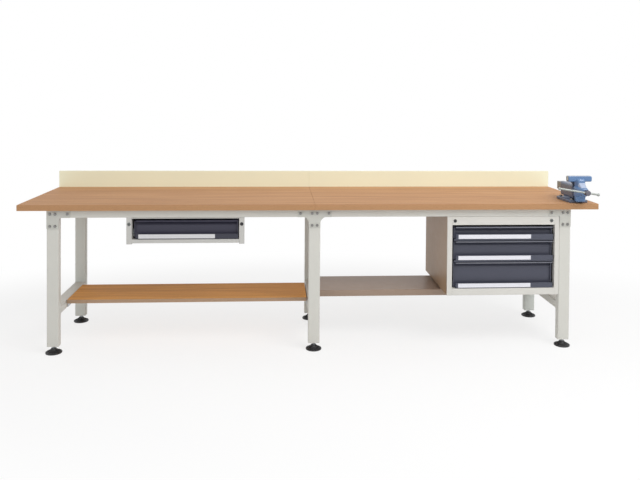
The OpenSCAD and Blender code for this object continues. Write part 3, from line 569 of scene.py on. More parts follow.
def makeBoards(s):
    hole, head, depth, over = s["screwHole"], s["screwHead"], s["holeDepth"], 1 * mm
    for side in ("left", "right"):
        bm = bmesh.new()
        addBox(bm, *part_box("worktop_" + side), s["edgeRound"], 3)
        makePiece(f"top_board_{side}", bm, "beechTop", "bench", [f"worktop_{side}"])
        bm = bmesh.new()
        lo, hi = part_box("backboard_" + side)
        addBox(bm, lo, hi, s["backRound"], 3)
        board = makePiece(f"back_board_{side}", bm, "cream", "bench", [f"backboard_{side}"])
        cutter = bmesh.new()
        for x, z in backScrewPlaces(side):
            profile = [(0, -depth), (hole, -depth), (hole, hole - head), (head + over, over), (0, over)]
            addLathe(cutter, profile, (x, hi.y, z), "Y", 32)
        cutAway(board, cutter)


def backScrewPlaces(side):
    lo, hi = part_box("backboard_" + side)
    inset, count = worktop["screwInset"], 4
    z = (topBox[0].z + topBox[1].z) / 2
    return [(lo.x + inset + i * (hi.x - lo.x - 2 * inset) / (count - 1), z) for i in range(count)]


makeBoards(worktop)


# Wood screws, with crossed recesses in their heads

woodScrew = millimetres({
    "head": 4.5, "shank": 2.5, "length": 48, "point": 6, "recess": 2.6, "recessDepth": 1.6, "slot": 1.0,
    "beamX": (-17, 17), "beamY": (-137.5, 112.5),
    "beamScrew": [(0, -5), (3.6, -5), (4.5, -4.2), (4.5, -2.5), (2.5, -2.5), (2.5, 20), (0, 23)],
})


def makeWoodScrews(s):
    bm = bmesh.new()
    cutter = bmesh.new()
    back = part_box("backboard_left")[1].y
    head, shank, tip = s["head"], s["shank"], -s["length"]
    for x, z in backScrewPlaces("left") + backScrewPlaces("right"):
        addLathe(bm, [(0, tip), (0.6 * mm, tip), (shank, tip + s["point"]), (shank, shank - head),
                      (head, -0.15 * mm), (head - 0.3 * mm, 0), (0, 0)], (x, back, z), "Y", 32)
        for across, up in ((s["recess"], s["slot"] / 2), (s["slot"] / 2, s["recess"])):
            addBox(cutter, (x - across, back - s["recessDepth"], z - up), (x + across, back + 1 * mm, z + up),
                   0.1 * mm, 1)
    for side in sides:
        for dx in s["beamX"]:
            for y in s["beamY"]:
                place = (middleOf("frame_" + side)[0] + dx, y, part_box("frame_" + side)[1].z)
                addLathe(bm, s["beamScrew"], place, "Z", 32)
    screws = makePiece("wood_screw_set", bm, "bolt", "bench", ["wood_screws"])
    cutAway(screws, cutter)


makeWoodScrews(woodScrew)
print("boards made")


# Leg frames

legFrame = millimetres({
    "legDepth": 40, "wall": 2.5, "corner": 5, "beamHeight": 40, "beamShrink": 0.3, "strutTop": 235,
    "footPlate": 5, "plateUp": 0.4, "plateGap": 0.05, "footHole": 8.1,
    "bead": 2.2, "beadInset": 1.2, "beadStep": 2.5,
})


def addFootPlate(bm, x, y, low, s, width):
    # the welded plate in a leg's lower end, round the foot's stem
    half, depth = (size / 2 - s["wall"] - s["plateGap"] for size in (width, s["legDepth"]))
    under, upper, count = low + s["plateUp"], low + s["footPlate"], 48
    rings = []
    for radius, z in ((None, under), (None, upper), (s["footHole"], upper), (s["footHole"], under)):
        ring = []
        for a in (2 * math.pi * i / count for i in range(count)):
            u, v = math.cos(a), math.sin(a)
            reach = radius or min(half / max(abs(u), 1e-6), depth / max(abs(v), 1e-6))
            ring.append((x + u * reach, y + v * reach, z))
        rings.append(ring)
    addSkin(bm, rings, closed=True)


def makeLegFrame(side, s):
    lo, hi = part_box("frame_" + side)
    front, rear = bmesh.new(), bmesh.new()
    half, inset, over = s["legDepth"] / 2, s["beadInset"], 1 * mm
    legs = [lo.y + half, hi.y - half]
    for y, bm in zip(legs, (front, rear)):
        outlines = hollow(lo.x, y - half, hi.x, y + half, s["wall"], s["corner"], 6)
        addTube(bm, outlines, lo.z, hi.z, "Z", 0.5 * mm)
        addFootPlate(bm, (lo.x + hi.x) / 2, y, lo.z, s, hi.x - lo.x)
    y0, y1 = legs[0] + half, legs[1] - half
    for z1 in (hi.z, s["strutTop"]):
        z0 = z1 - s["beamHeight"]
        addTube(front, hollow(lo.x, z0, hi.x, z1, s["wall"], s["corner"], 6, s["beamShrink"]),
                y0 - over, y1 + over, "Y", 0.1 * mm)
        for y in (y0, y1):
            loop = [(lo.x + inset, y, z0 + inset), (hi.x - inset, y, z0 + inset),
                    (hi.x - inset, y, z1 - inset), (lo.x + inset, y, z1 - inset)]
            addBead(front, alongLoop(loop, s["beadStep"]), s["bead"])
    makePiece(f"leg_frame_{side}", front, "greyPaint", "bench", ["frame_" + side], weld=False)
    # the rear legs take the lighter copy of the leg paint, as painted light
    makePiece(f"rear_leg_{side}", rear, "litRearPaint", "bench", weld=False)


for side in sides:
    makeLegFrame(side, legFrame)


# Long rails between the frames

rail = millimetres({"wall": 2, "corner": 3.5})


def makeRails(node, name, s):
    lo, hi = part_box(node)
    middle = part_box("frame_middle")
    bm = bmesh.new()
    for x0, x1 in ((lo.x, middle[0].x), (middle[1].x, hi.x)):
        addTube(bm, hollow(lo.y, lo.z, hi.y, hi.z, s["wall"], s["corner"], 5), x0, x1, "X")
    makePiece(name, bm, "greyPaint", "bench", [node], weld=False)


makeRails("front_rails", "front_rail_pair", rail)
makeRails("rear_rails", "rear_rail_pair", rail)


# Head plates and bolts

headPlate = millimetres({
    "reach": 58, "wings": (7, 20, 1), "corner": 3, "chamfer": 0.5, "boltX": 13, "boltIn": 14, "flats": 13,
    "headHeight": 5.5, "shank": [(0, -1), (4, -1), (4, 15), (3.2, 16), (0, 16)],
    "angleBolt": [(0, -9), (3, -9), (3, 0), (5, 0), (5, 1.6), (4, 2.8), (1.8, 3), (1.6, 2.2), (0, 2.2)],
    "angleBoltIn": 40, "angleBoltUp": 11, "angleSheet": 3,
})


def frameMiddles():
    return [middleOf("frame_" + side)[0] for side in sides]


def makeHeadPlates(s):
    lo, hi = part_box("head_plates")
    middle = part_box("frame_middle")
    leg = (middle[1].x - middle[0].x) / 2
    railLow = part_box("front_rails")[0].z
    bm = bmesh.new()
    for x, wings, wing in zip(frameMiddles(), ((0, 1), (1, 1), (1, 0)), s["wings"]):
        line, radii = [], []
        for way, wide in ((1, wings[1]), (-1, wings[0])):
            edge, end = x + leg * way, x + (leg + s["reach"]) * way
            half, turns = [(edge, lo.z), (edge, hi.z)], [s["corner"]] * 2
            if wide:
                half[1:] = [(edge, railLow - wing), (edge + wing * way, railLow), (end, railLow), (end, hi.z)]
                turns = [s["corner"], wing * 1.1, wing * 1.1, s["corner"], s["corner"]]
            line += half[::way]
            radii += turns[::way]
        addPrism(bm, roundCorners(line, radii, 5), lo.y, hi.y, "Y", s["chamfer"])
    makePiece("head_plate_set", bm, "platePaint", "bench", ["head_plates"])


def addHexHead(bm, x, y, z, flats, height, way="-Y"):
    # six-sided head with its corners turned off
    def hexagon(angle, radius, h):
        sector = (angle % (math.pi / 3)) - math.pi / 6
        return min(radius, flats / 2 / math.cos(sector))
    corner = flats / math.sqrt(3)
    addLathe(bm, [(0, 0), (flats * 0.49, 0), (flats * 0.49, 0.5 * mm), (corner, 0.6 * mm),
                  (corner, height * 0.72), (flats * 0.47, height), (flats * 0.30, height),
                  (flats * 0.26, height - 0.4 * mm), (0, height - 0.4 * mm)],
             (x, y, z), way, 48, lambda a, r, h: r if h < 0.55 * mm or r < flats * 0.47 else hexagon(a, r, h))


def makeFrameBolts(s):
    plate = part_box("head_plates")
    railZ = middleOf("front_rails")[2]
    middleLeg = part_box("frame_middle")
    railBolt = (middleLeg[1].x - middleLeg[0].x) / 2 + s["reach"] - s["boltIn"]
    left, middle, right = frameMiddles()
    spots = [(x + dx, z) for x in (left, middle, right) for dx in (-s["boltX"], s["boltX"])
             for z in (plate[0].z + s["boltIn"], railZ)]
    spots += [(x, railZ) for x in (left + railBolt, middle - railBolt, middle + railBolt, right - railBolt)]
    bm = bmesh.new()
    for x, z in spots:
        addHexHead(bm, x, plate[0].y, z, s["flats"], s["headHeight"])
        addLathe(bm, s["shank"], (x, plate[0].y, z), "Y", 24)
    lo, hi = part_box("shelf_angles")
    strutLow = legFrame["strutTop"] - legFrame["beamHeight"]
    for x, axis, way in ((lo.x, "X", 1), (hi.x, "-X", -1)):
        for y in (lo.y + s["angleBoltIn"], hi.y - s["angleBoltIn"]):
            place = (x + way * s["angleSheet"], y, strutLow + s["angleBoltUp"])
            addLathe(bm, s["angleBolt"], place, axis, 24)
    makePiece("frame_bolt_set", bm, "bolt", "bench", ["frame_bolts"], sharpAngle=28)


makeHeadPlates(headPlate)
makeFrameBolts(headPlate)
print("frames made")


# Low shelves

shelf = millimetres({"woodRound": 1.5, "angleWide": 35, "angleSheet": 3, "angleBend": 4,
                     "traySheet": 2, "trayBend": 3})


def makeShelves(s):
    bm = bmesh.new()
    addBox(bm, *shelfBox, s["woodRound"], 3)
    makePiece("wood_shelf_board", bm, "beechShelf", "bench", ["wood_shelf"])
    lo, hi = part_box("shelf_angles")
    bm = bmesh.new()
    for x, way in ((lo.x, 1), (hi.x, -1)):
        line = [(x, lo.z), (x, hi.z), (x + way * s["angleWide"], hi.z)]
        addFold(bm, line, -way * s["angleSheet"], s["angleBend"], lo.y, hi.y, "Y")
    makePiece("shelf_angle_pair", bm, "zinc", "bench", ["shelf_angles"])
    bm = bmesh.new()
    fitCube(bm, *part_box("steel_shelf"))
    bmesh.ops.delete(bm, geom=[f for f in bm.faces if f.normal.z < -0.5], context="FACES_ONLY")
    folds = [e for e in bm.edges if len(e.link_faces) == 2]
    bmesh.ops.bevel(bm, geom=folds, offset=s["trayBend"], segments=4, profile=0.5, affect="EDGES")
    tray = makePiece("steel_shelf_tray", bm, "shelfPaint", "bench", ["steel_shelf"], 60)
    sheet = tray.modifiers.new("sheet", "SOLIDIFY")
    sheet.thickness = s["traySheet"]
    sheet.offset = -1
    tray.modifiers.move(1, 0)


makeShelves(shelf)
print("shelves made")


# Drawer units

unit = millimetres({
    "sheet": 2, "frontDepth": 29, "bend": 2.4, "play": 0.05, "gapStrip": 1.7,
    "single": {"posts": (27, 27), "side": 18, "sillUp": 5, "sill": 24.5, "head": 5, "headBend": 1.2},
    "cabinet": {"posts": (27, 22.5), "side": 5, "sillUp": 0, "sill": 36, "head": 45, "headBend": 2.4},
})


def startUnit(lo, hi, s, kind):
    # two folded posts with a sill and a head between them
    bm = bmesh.new()
    t, back, one = s["sheet"], lo.y + s["frontDepth"], s[kind]
    inner0, inner1 = lo.x + one["posts"][0], hi.x - one["posts"][1]
    for edge, jamb, way in ((lo.x, inner0, 1), (hi.x, inner1, -1)):
        line = [(jamb, back), (jamb, lo.y), (edge, lo.y), (edge, lo.y + one["side"])]
        addFold(bm, line, -t * way, s["bend"], lo.z, hi.z, "Z")
    for z, end, thickness, bend in ((lo.z + one["sill"], lo.z + one["sillUp"], t, s["bend"]),
                                    (hi.z - one["head"], hi.z, -t, one["headBend"])):
        line = [(back, z), (lo.y, z), (lo.y, end), (hi.y, end)]
        addFold(bm, line, thickness, bend, inner0 + s["play"], inner1 - s["play"])
    return bm, inner0, inner1


def makeHousing(s):
    lo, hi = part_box("drawer_housing")
    t = s["sheet"]
    bm, inner0, inner1 = startUnit(lo, hi, s, "single")
    for x in (inner0 - t, inner1):
        addBox(bm, (x, lo.y + s["frontDepth"] - 1 * mm, lo.z), (x + t, hi.y, hi.z), 0.5 * mm)
    addBox(bm, (inner0, hi.y - t, lo.z), (inner1, hi.y, hi.z), 0.5 * mm)
    # the housing takes the darker copy of the unit paint, as painted shade
    makePiece("single_housing", bm, "shadedHousingPaint", "bench", ["drawer_housing"],
              weld=False)


def makeCabinet(s):
    lo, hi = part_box("cabinet_body")
    t, front = s["sheet"], lo.y + s["cabinet"]["side"]
    bm, inner0, inner1 = startUnit(lo, hi, s, "cabinet")
    # the left side takes the darker, browner paint, as painted shade and a painted reflection of the wood
    for x, name, paint in ((lo.x, "left", "shadeAndReflectionSidePaint"), (hi.x - t, "right", "shelfPaint")):
        side = bmesh.new()
        addBox(side, (x, front, lo.z), (x + t, hi.y, hi.z), 0.5 * mm)
        makePiece("cabinet_side_" + name, side, paint, "bench", weld=False)
    for x0, x1 in ((lo.x + t, inner0), (inner1, hi.x - t)):
        for z in (lo.z, hi.z - t):
            addBox(bm, (x0, lo.y + 3 * mm, z), (x1, hi.y, z + t), 0.5 * mm)
    addBox(bm, (lo.x + t, hi.y - t, lo.z + t), (hi.x - t, hi.y, hi.z - t), 0.5 * mm)
    # a flat strip closes the gap to the leg
    addBox(bm, (hi.x - 0.5 * mm, lo.y + 1 * mm, lo.z + 1 * mm), (hi.x + s["gapStrip"], lo.y + 12 * mm, hi.z),
           0.3 * mm)
    makePiece("cabinet_shell", bm, "unitPaint", "bench", ["cabinet_body"], weld=False)


makeHousing(unit)
makeCabinet(unit)
print("drawer units made")


# Drawers: sheet front with a lip, pan, inner runners, handle rail and label

drawer = millimetres({
    "sheet": 2, "bend": 2, "lipDrop": 6, "lipReach": 21, "noseLean": 4, "returnDepth": 14,
    "sheetEnds": (7, 2), "railEnds": (18, 1), "cheekWide": 6, "cheekBack": 12, "gripHigh": 26, "gripDeep": 13,
    "panLow": 5, "panDrop": 16, "panHalf": 260.3, "rim": 2.4,
    "runnerHalf": 13.8, "runnerZ": 26, "runnerWide": 8.8, "runnerSheet": 1.5, "runnerBend": 1.8,
    "runnerEnds": (18, 2),
})


def makeDrawer(name, s, paint):
    lo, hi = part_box("drawer_" + name)
    body = f"drawer_{name}_body"
    handleLo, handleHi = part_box("handle_" + name)
    t, face, cheek = s["sheet"], lo.y + s["lipReach"], lo.y + s["cheekBack"]
    x0, x1 = handleLo.x + s["sheetEnds"][0], handleHi.x - s["sheetEnds"][1]
    back, under, nose = face + s["returnDepth"], handleHi.z + 1 * mm, hi.z - s["lipDrop"]
    bm = bmesh.new()
    # the lip's nose leans back, so that it catches light from above
    line = [(back + t, hi.z), (lo.y + s["noseLean"], hi.z), (lo.y, nose)]
    addFold(bm, line, t, s["bend"], handleLo.x + s["railEnds"][0], handleHi.x - s["railEnds"][1])
    # below it the sheet leans back to a grip for the fingers, which stays dark
    line = [(face + s["gripDeep"], hi.z - t), (face, hi.z - s["gripHigh"]), (face, lo.z), (back, lo.z)]
    addFold(bm, line, t, s["bend"], x0, x1)
    for x in (x0, x1 - t):
        addBox(bm, (x, face + 0.4 * mm, lo.z + 0.4 * mm), (x + t, back, hi.z - t), 0.5 * mm)
        addBox(bm, (x, cheek + 0.5 * mm, under), (x + t, face + 1 * mm, nose), 0.5 * mm)
    for x in (x0, x1 - s["cheekWide"]):
        addBox(bm, (x, cheek, under), (x + s["cheekWide"], cheek + t, nose), 0.6 * mm)
    middle = (handleLo.x + handleHi.x) / 2
    panX0, panX1 = middle - s["panHalf"], middle + s["panHalf"]
    panY, wallY = face + t / 2, face + t / 2 + s["gripDeep"] + t
    z0, z1 = lo.z + s["panLow"], hi.z - s["panDrop"]
    for x, y, xEnd, yEnd, zEnd in (
            (panX0, panY + 1 * mm, panX1, hi.y, z0 + t), (panX0, wallY, panX0 + t, hi.y, z1),
            (panX1 - t, wallY, panX1, hi.y, z1), (panX0, hi.y - t, panX1, hi.y, z1),
            (panX0, wallY, panX1, wallY + t, z1)):
        addBox(bm, (x, y, z0), (xEnd, yEnd, zEnd), 0.6 * mm)
    rim, length = s["rim"], hi.y - wallY - 3 * mm
    for x in (panX0 + rim, panX1 - rim):
        addLathe(bm, [(0, 0), (rim, 0), (rim, length), (0, length)], (x, wallY + 2 * mm, z1 - rim), "Y", 16)
    makePiece(f"drawer_front_and_pan_{name}", bm, paint, body, ["drawer_" + name],
              weld=False)
    bm = bmesh.new()
    low, high = lo.z + s["runnerZ"] - s["runnerHalf"], lo.z + s["runnerZ"] + s["runnerHalf"]
    for base, way in ((panX0, -1), (panX1, 1)):
        tip = base + way * s["runnerWide"]
        addFold(bm, [(tip, low), (base, low), (base, high), (tip, high)], -s["runnerSheet"] * way,
                s["runnerBend"], panY + s["runnerEnds"][0], hi.y - s["runnerEnds"][1], "Y")
    makePiece(f"inner_runners_{name}", bm, "zinc", body, weld=False)


handleRail = millimetres({
    "wall": 2.5, "bead": 1.2, "beadHeight": 1.5, "backWall": 2, "backHeight": 10, "round": 0.7,
    "chamfer": 0.3, "skirts": {"top": 7.5, "middle": 7.5}, "skirtFrom": 4, "skirtTo": 5.5,
    "labelCorner": 0.8, "labelLess": (1.5, 1),
})


def makeHandle(name, s, paint, card):
    lo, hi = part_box("handle_" + name)
    front, back, wall, bead = lo.y + s["bead"], hi.y - s["backWall"], s["wall"], s["beadHeight"]
    line = [(lo.y, lo.z), (hi.y, lo.z), (hi.y, lo.z + s["backHeight"]), (back, lo.z + s["backHeight"]),
            (back, lo.z + wall), (front + wall, lo.z + wall), (front + wall, hi.z), (lo.y, hi.z),
            (lo.y, hi.z - bead), (front, hi.z - bead), (front, lo.z + bead), (lo.y, lo.z + bead)]
    bm = bmesh.new()
    x0, x1 = lo.x + drawer["railEnds"][0], hi.x - drawer["railEnds"][1]
    addPrism(bm, roundCorners(line, s["round"], 3), x0, x1, "X", s["chamfer"])
    if name in s["skirts"]:
        # a thin skirt behind the rail hides most of the gap to the drawer below
        addBox(bm, (lo.x + drawer["sheetEnds"][0], lo.y + s["skirtFrom"], lo.z - s["skirts"][name]),
               (x1, lo.y + s["skirtTo"], lo.z + 1 * mm), 0.4 * mm)
    body = f"drawer_{name}_body"
    makePiece(f"handle_rail_{name}", bm, paint, body, ["handle_" + name])
    lo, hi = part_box("label_" + name)
    below, above = s["labelLess"]
    bm = bmesh.new()
    strip = rectangle(lo.x, lo.z + below, hi.x, hi.z - above, s["labelCorner"], 3)
    addPrism(bm, strip, lo.y, hi.y, "Y", 0.2 * mm)
    makePiece(f"label_strip_{name}", bm, card, body, ["label_" + name])


drawerNames = ("single", "top", "middle", "bottom")
for name in drawerNames:
    # the single drawer hangs in the shade of the worktop, which is painted into darker copies of its paints and
    # its label
    looks = ("drawerPaint", "railPaint", "label")
    if name == "single":
        looks = ("shadedDrawerPaint", "shadedRailPaint", "shadedLabel")
    makeDrawer(name, drawer, looks[0])
    makeHandle(name, handleRail, *looks[1:])
print("drawers made")


# Runners that move between drawer and unit, their fixed channels, carriers and hanging strips

finishNodes("zinc", "zinc_steel", "hanging_strips", "runner_carriers", "runner_channels",
            *("runners_" + name for name in drawerNames))


# Locks and plugs

lock = millimetres({
    "barrel": 6, "rimHeight": 2,
    "sleeve": [(6.05, -2), (8.3, -2), (9.2, -1.5), (9.5, -0.8), (9.5, 0), (8, 0), (8, 14), (6.05, 14),
               (6.05, -2)],
    "turned": [(0, -2.3), (4.6, -2.6), (5.6, -2.4), (6, -2), (6, 15.9), (0, 15.9)],
    "cam": [(-3, 14.2, -10), (3, 16, 3)], "keyway": [(-0.8, -4, -4), (0.8, -1, 4)],
    "plug": [(0, -2), (6.5, -1.9), (8.3, -1.4), (9, -0.5), (9, 0), (7.9, 0), (7.9, 7), (7, 8), (0, 8)],
})


def makeLocks(s):
    sleeves, plugs = bmesh.new(), bmesh.new()
    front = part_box("lock_sleeves")[0].y + s["rimHeight"]
    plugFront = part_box("blank_plugs")[0].y + s["rimHeight"]
    for name, unitNode in (("single", "drawer_housing"), ("cabinet", "cabinet_body")):
        node = "lock_barrel_" + name
        x, z = middleOf(node)[0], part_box(node)[1].z - s["barrel"]
        place = Vector((x, front, z))
        addLathe(sleeves, s["sleeve"], place, "Y")
        barrel = bmesh.new()
        addLathe(barrel, s["turned"], place, "Y")
        addBox(barrel, *(place + Vector(corner) for corner in s["cam"]), 0.6 * mm)
        piece = makePiece(f"lock_barrel_turned_{name}", barrel, "barrel", "lock_" + name, [node],
                          weld=False)
        cutter = bmesh.new()
        addBox(cutter, *(place + Vector(corner) for corner in s["keyway"]), 0.2 * mm, 1)
        cutAway(piece, cutter)
        # the blank plug sits on the other side of the unit
        addLathe(plugs, s["plug"], (2 * middleOf(unitNode)[0] - x, plugFront, z), "Y", 40)
    makePiece("lock_rims", sleeves, "chrome", "bench", ["lock_sleeves"])
    makePiece("plug_pair", plugs, "black", "bench", ["blank_plugs"])


makeLocks(lock)
print("locks made")


# Screw feet: moulded pads with ribs, and threaded stems

foot = millimetres({
    "pad": [(0, 0), (38.5, 0), (40.4, 0.7), (41, 2.2), (41, 5.8), (40.2, 7), (38, 7.6), (26, 11.2), (18, 17),
            (14, 21), (13.4, 24.6), (12, 26), (8.6, 26), (8.1, 25.5), (8.1, 8), (0, 8)],
    "rib": [(13, 8), (37.5, 6), (37.5, 8.8), (26, 13.6), (18, 19), (13, 23)],
    "ribHalf": 0.8, "ribChamfer": 0.3, "stem": 8, "pitch": 2.5, "thread": 1.1, "threaded": 78,
})


def makeFoot(number, s):
    x, y, _ = middleOf(f"foot_pad_{number}")
    body = f"foot_{number}"
    bm = bmesh.new()
    addLathe(bm, s["pad"], (x, y, 0), "Z", 72)
    ribs = 12
    for k in range(ribs):
        # a thin web from the socket down to the rim
        rib = bmesh.new()
        addPrism(rib, s["rib"], -s["ribHalf"], s["ribHalf"], "Y", s["ribChamfer"])
        mergeInto(bm, rib, Matrix.Translation((x, y, 0)) @ Matrix.Rotation(2 * math.pi * k / ribs, 4, "Z"))
    makePiece(f"foot_pad_ribbed_{number}", bm, "black", body, [f"foot_pad_{number}"], 50,
              weld=False)
    lo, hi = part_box(f"foot_stem_{number}")
    bm = bmesh.new()
    sectors, perTurn, height, full = 32, 6, s["threaded"], s["stem"]
    steps = int(height / s["pitch"] * perTurn)
    levels = [(lo.z + height * k / steps, None) for k in range(steps + 1)]
    levels += [(lo.z + height + 1 * mm, full), (hi.z - 2 * mm, full), (hi.z, full - 2 * mm)]
    rings = []
    for z, plain in levels:
        ring = []
        for i in range(sectors):
            turn = (z / s["pitch"] - i / sectors) % 1
            r = plain or full - s["thread"] * min(1, 1.25 * abs(2 * turn - 1))
            angle = 2 * math.pi * i / sectors
            ring.append((x + r * math.cos(angle), y + r * math.sin(angle), z))
        rings.append(ring)
    addSkin(bm, rings, caps=True)
    makePiece(f"foot_stem_threaded_{number}", bm, "thread", body, [f"foot_stem_{number}"])


for number in range(1, 7):
    makeFoot(number, foot)
print("feet made")


# Vise: base, body with the fixed jaw, moving jaw with its slide, plates, screw and bar

vise = millimetres({
    "screwUp": 67, "beamWide": 40, "beamHigh": 42, "slotTop": 8, "play": 0.3, "baseMiddle": 85,
    "baseCorner": 14, "baseHigh": 14, "baseChamfer": 2,
    "drum": [(0, 12), (52, 12), (52, 16.4), (51.5, 17.6), (50.4, 18), (0, 18)],
    "turntable": [(0, 18.2), (50, 18.2), (50, 19.5), (47, 22), (42, 26), (0, 26)],
    "jawBore": [(0, 0), (7.2, 0), (7.2, 100), (0, 100)],
    "grooveStep": 3, "grooveWide": 0.5, "grooveLong": 60,
    "headHalf": 15,
    "screwHead": [(0, -15), (10, -15), (12.6, -14), (14, -11.5), (14, 12), (12.8, 15), (11, 15), (11, 18.6),
                  (7, 18.6), (7, 73)],
    "threadFrom": 75, "pitch": 5, "thread": [(6.9, 0), (6.9, 2), (5.6, 2.6), (5.6, 4.4)],
    "barHole": [(0, -20), (5.05, -20), (5.05, 20), (0, 20)], "barSlid": 45,
    "bar": [(0, -110), (3.4, -110), (6.2, -109), (7.6, -107), (8, -105), (7.6, -102.6), (6.2, -100.6),
            (5, -100)],
    "boltX": 32, "boltY": 70, "boltFlats": 17, "boltHead": 7, "nut": 5, "boltBelow": 6,
})
barTilt = math.radians(9)
# rows of rounded sections for the castings, as addLoft reads them
bodySections = (
    # casing of the slide
    ((12, 26, 30, 24, 93.5, 9), (18, 29, 32, 22, 95, 10), (40, 30, 31, 22, 95, 11),
     (70, 31, 29, 22, 94.5, 12), (120, 31, 29, 22, 94.5, 12), (158, 29, 31, 22, 95, 10),
     (166, 28, 30.5, 23, 94.5, 9), (170, 24, 28.5, 26, 92.5, 8)),
    # fixed jaw and the neck below it
    ((6, 62.5, 62.5, 114.5, 143.6, 4), (7, 62.5, 62.5, 114, 144, 4), (14, 62.5, 62.5, 114, 144, 5),
     (22, 59, 61, 114.5, 143, 8), (24, 52, 56, 113, 142, 9), (32, 31, 33, 104, 136, 10),
     (40, 21, 20, 92, 129, 8)),
    ((7, 22, 44, 91, 117, 4), (18, 22, 42, 91, 118, 5), (32, 22, 29, 91, 119, 8), (40, 20, 18, 91, 119, 8)),
)
jawSections = (
    # broad head and its neck
    ((-15, 56, 58, 120, 141.5, 7), (-12, 61.5, 62, 115.5, 143.6, 7), (-4, 62.5, 62.5, 114, 144, 5),
     (0, 62.5, 62.5, 114.5, 143.6, 4)),
    ((-31, 17, 14, 84, 121, 9), (-26, 21, 19, 72, 128, 10), (-12, 22, 26, 66, 134, 10),
     (0, 23, 31, 66, 136, 8)),
    # apron below the slide
    ((-22, 19, 28, 16, 66, 9), (-19.5, 22, 30, 10.5, 66, 9), (-15, 25, 31.5, 8, 66, 9),
     (-3, 25, 31.5, 8, 66, 8), (0, 23.5, 30.5, 9.5, 65, 7)),
    # rounded nose round the screw
    ((-76.7, 14, 14, 53, 81, 13), (-74, 18, 18, 49, 85, 15), (-60, 22, 22, 44, 87, 15),
     (-40, 27, 27, 39, 90, 15), (-22, 31, 31, 36, 92, 14), (-4, 32, 32, 35, 93, 12), (0, 31, 31, 36, 92, 12)),
)
ribSections = ((-60, 15.5, 13, 76, 89, 5), (-52, 17.5, 15, 76, 94, 6), (-42, 19, 16, 76, 102, 7),
               (-30, 20, 17, 76, 112, 7), (-20, 21, 18, 76, 118, 7), (-2, 21, 18, 76, 118, 6))


def makeViseCastings(s, cx, top, jawY, face, screwZ):
    # base plate with round corners and the drum that the body turns on
    lo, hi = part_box("vise_base")
    bm = bmesh.new()
    addPrism(bm, rectangle(lo.x, lo.y, hi.x, hi.y, s["baseCorner"], 8), lo.z, lo.z + s["baseHigh"], "Z",
             s["baseChamfer"])
    addLathe(bm, s["drum"], (cx, (lo.y + hi.y) / 2, top), "Z", 72)
    makePiece("vise_base_casting", bm, "greyCast", "bench", ["vise_base"], weld=False)

    # body: the slide's casing, with the fixed jaw on a neck at its front
    bm = bmesh.new()
    for rows in bodySections:
        addLoft(bm, cx, jawY, top, rows)
    addLathe(bm, s["turntable"], (cx, jawY + s["baseMiddle"], top), "Z", 72)
    body = makePiece("vise_body_casting", bm, "greyCast", "bench", ["vise_body"], 50,
                     weld=False)
    cutter = bmesh.new()
    w, h = s["beamWide"] / 2 + s["play"], s["beamHigh"] / 2 + s["play"]
    addBox(cutter, (cx - w, jawY - 20 * mm, screwZ - h), (cx + w, jawY + 230 * mm, screwZ + h), 1 * mm)
    cutAway(body, cutter)

    # moving jaw, and the rib that slopes from its neck down to the nose, in a pale enamel that is a painted
    # highlight
    rib, bm = bmesh.new(), bmesh.new()
    addLoft(rib, cx, face, top, ribSections)
    makePiece("vise_jaw_rib", rib, "highlightCast", "vise_jaw_body", sharpAngle=50,
              weld=False)
    for rows in jawSections:
        addLoft(bm, cx, face, top, rows)
    jaw = makePiece("vise_jaw_casting", bm, "blueCast", "vise_jaw_body", ["vise_jaw"], 50,
                    weld=False)
    cutter = bmesh.new()
    addLathe(cutter, s["jawBore"], (cx, face - 85 * mm, screwZ), "Y", 32)
    cutAway(jaw, cutter)


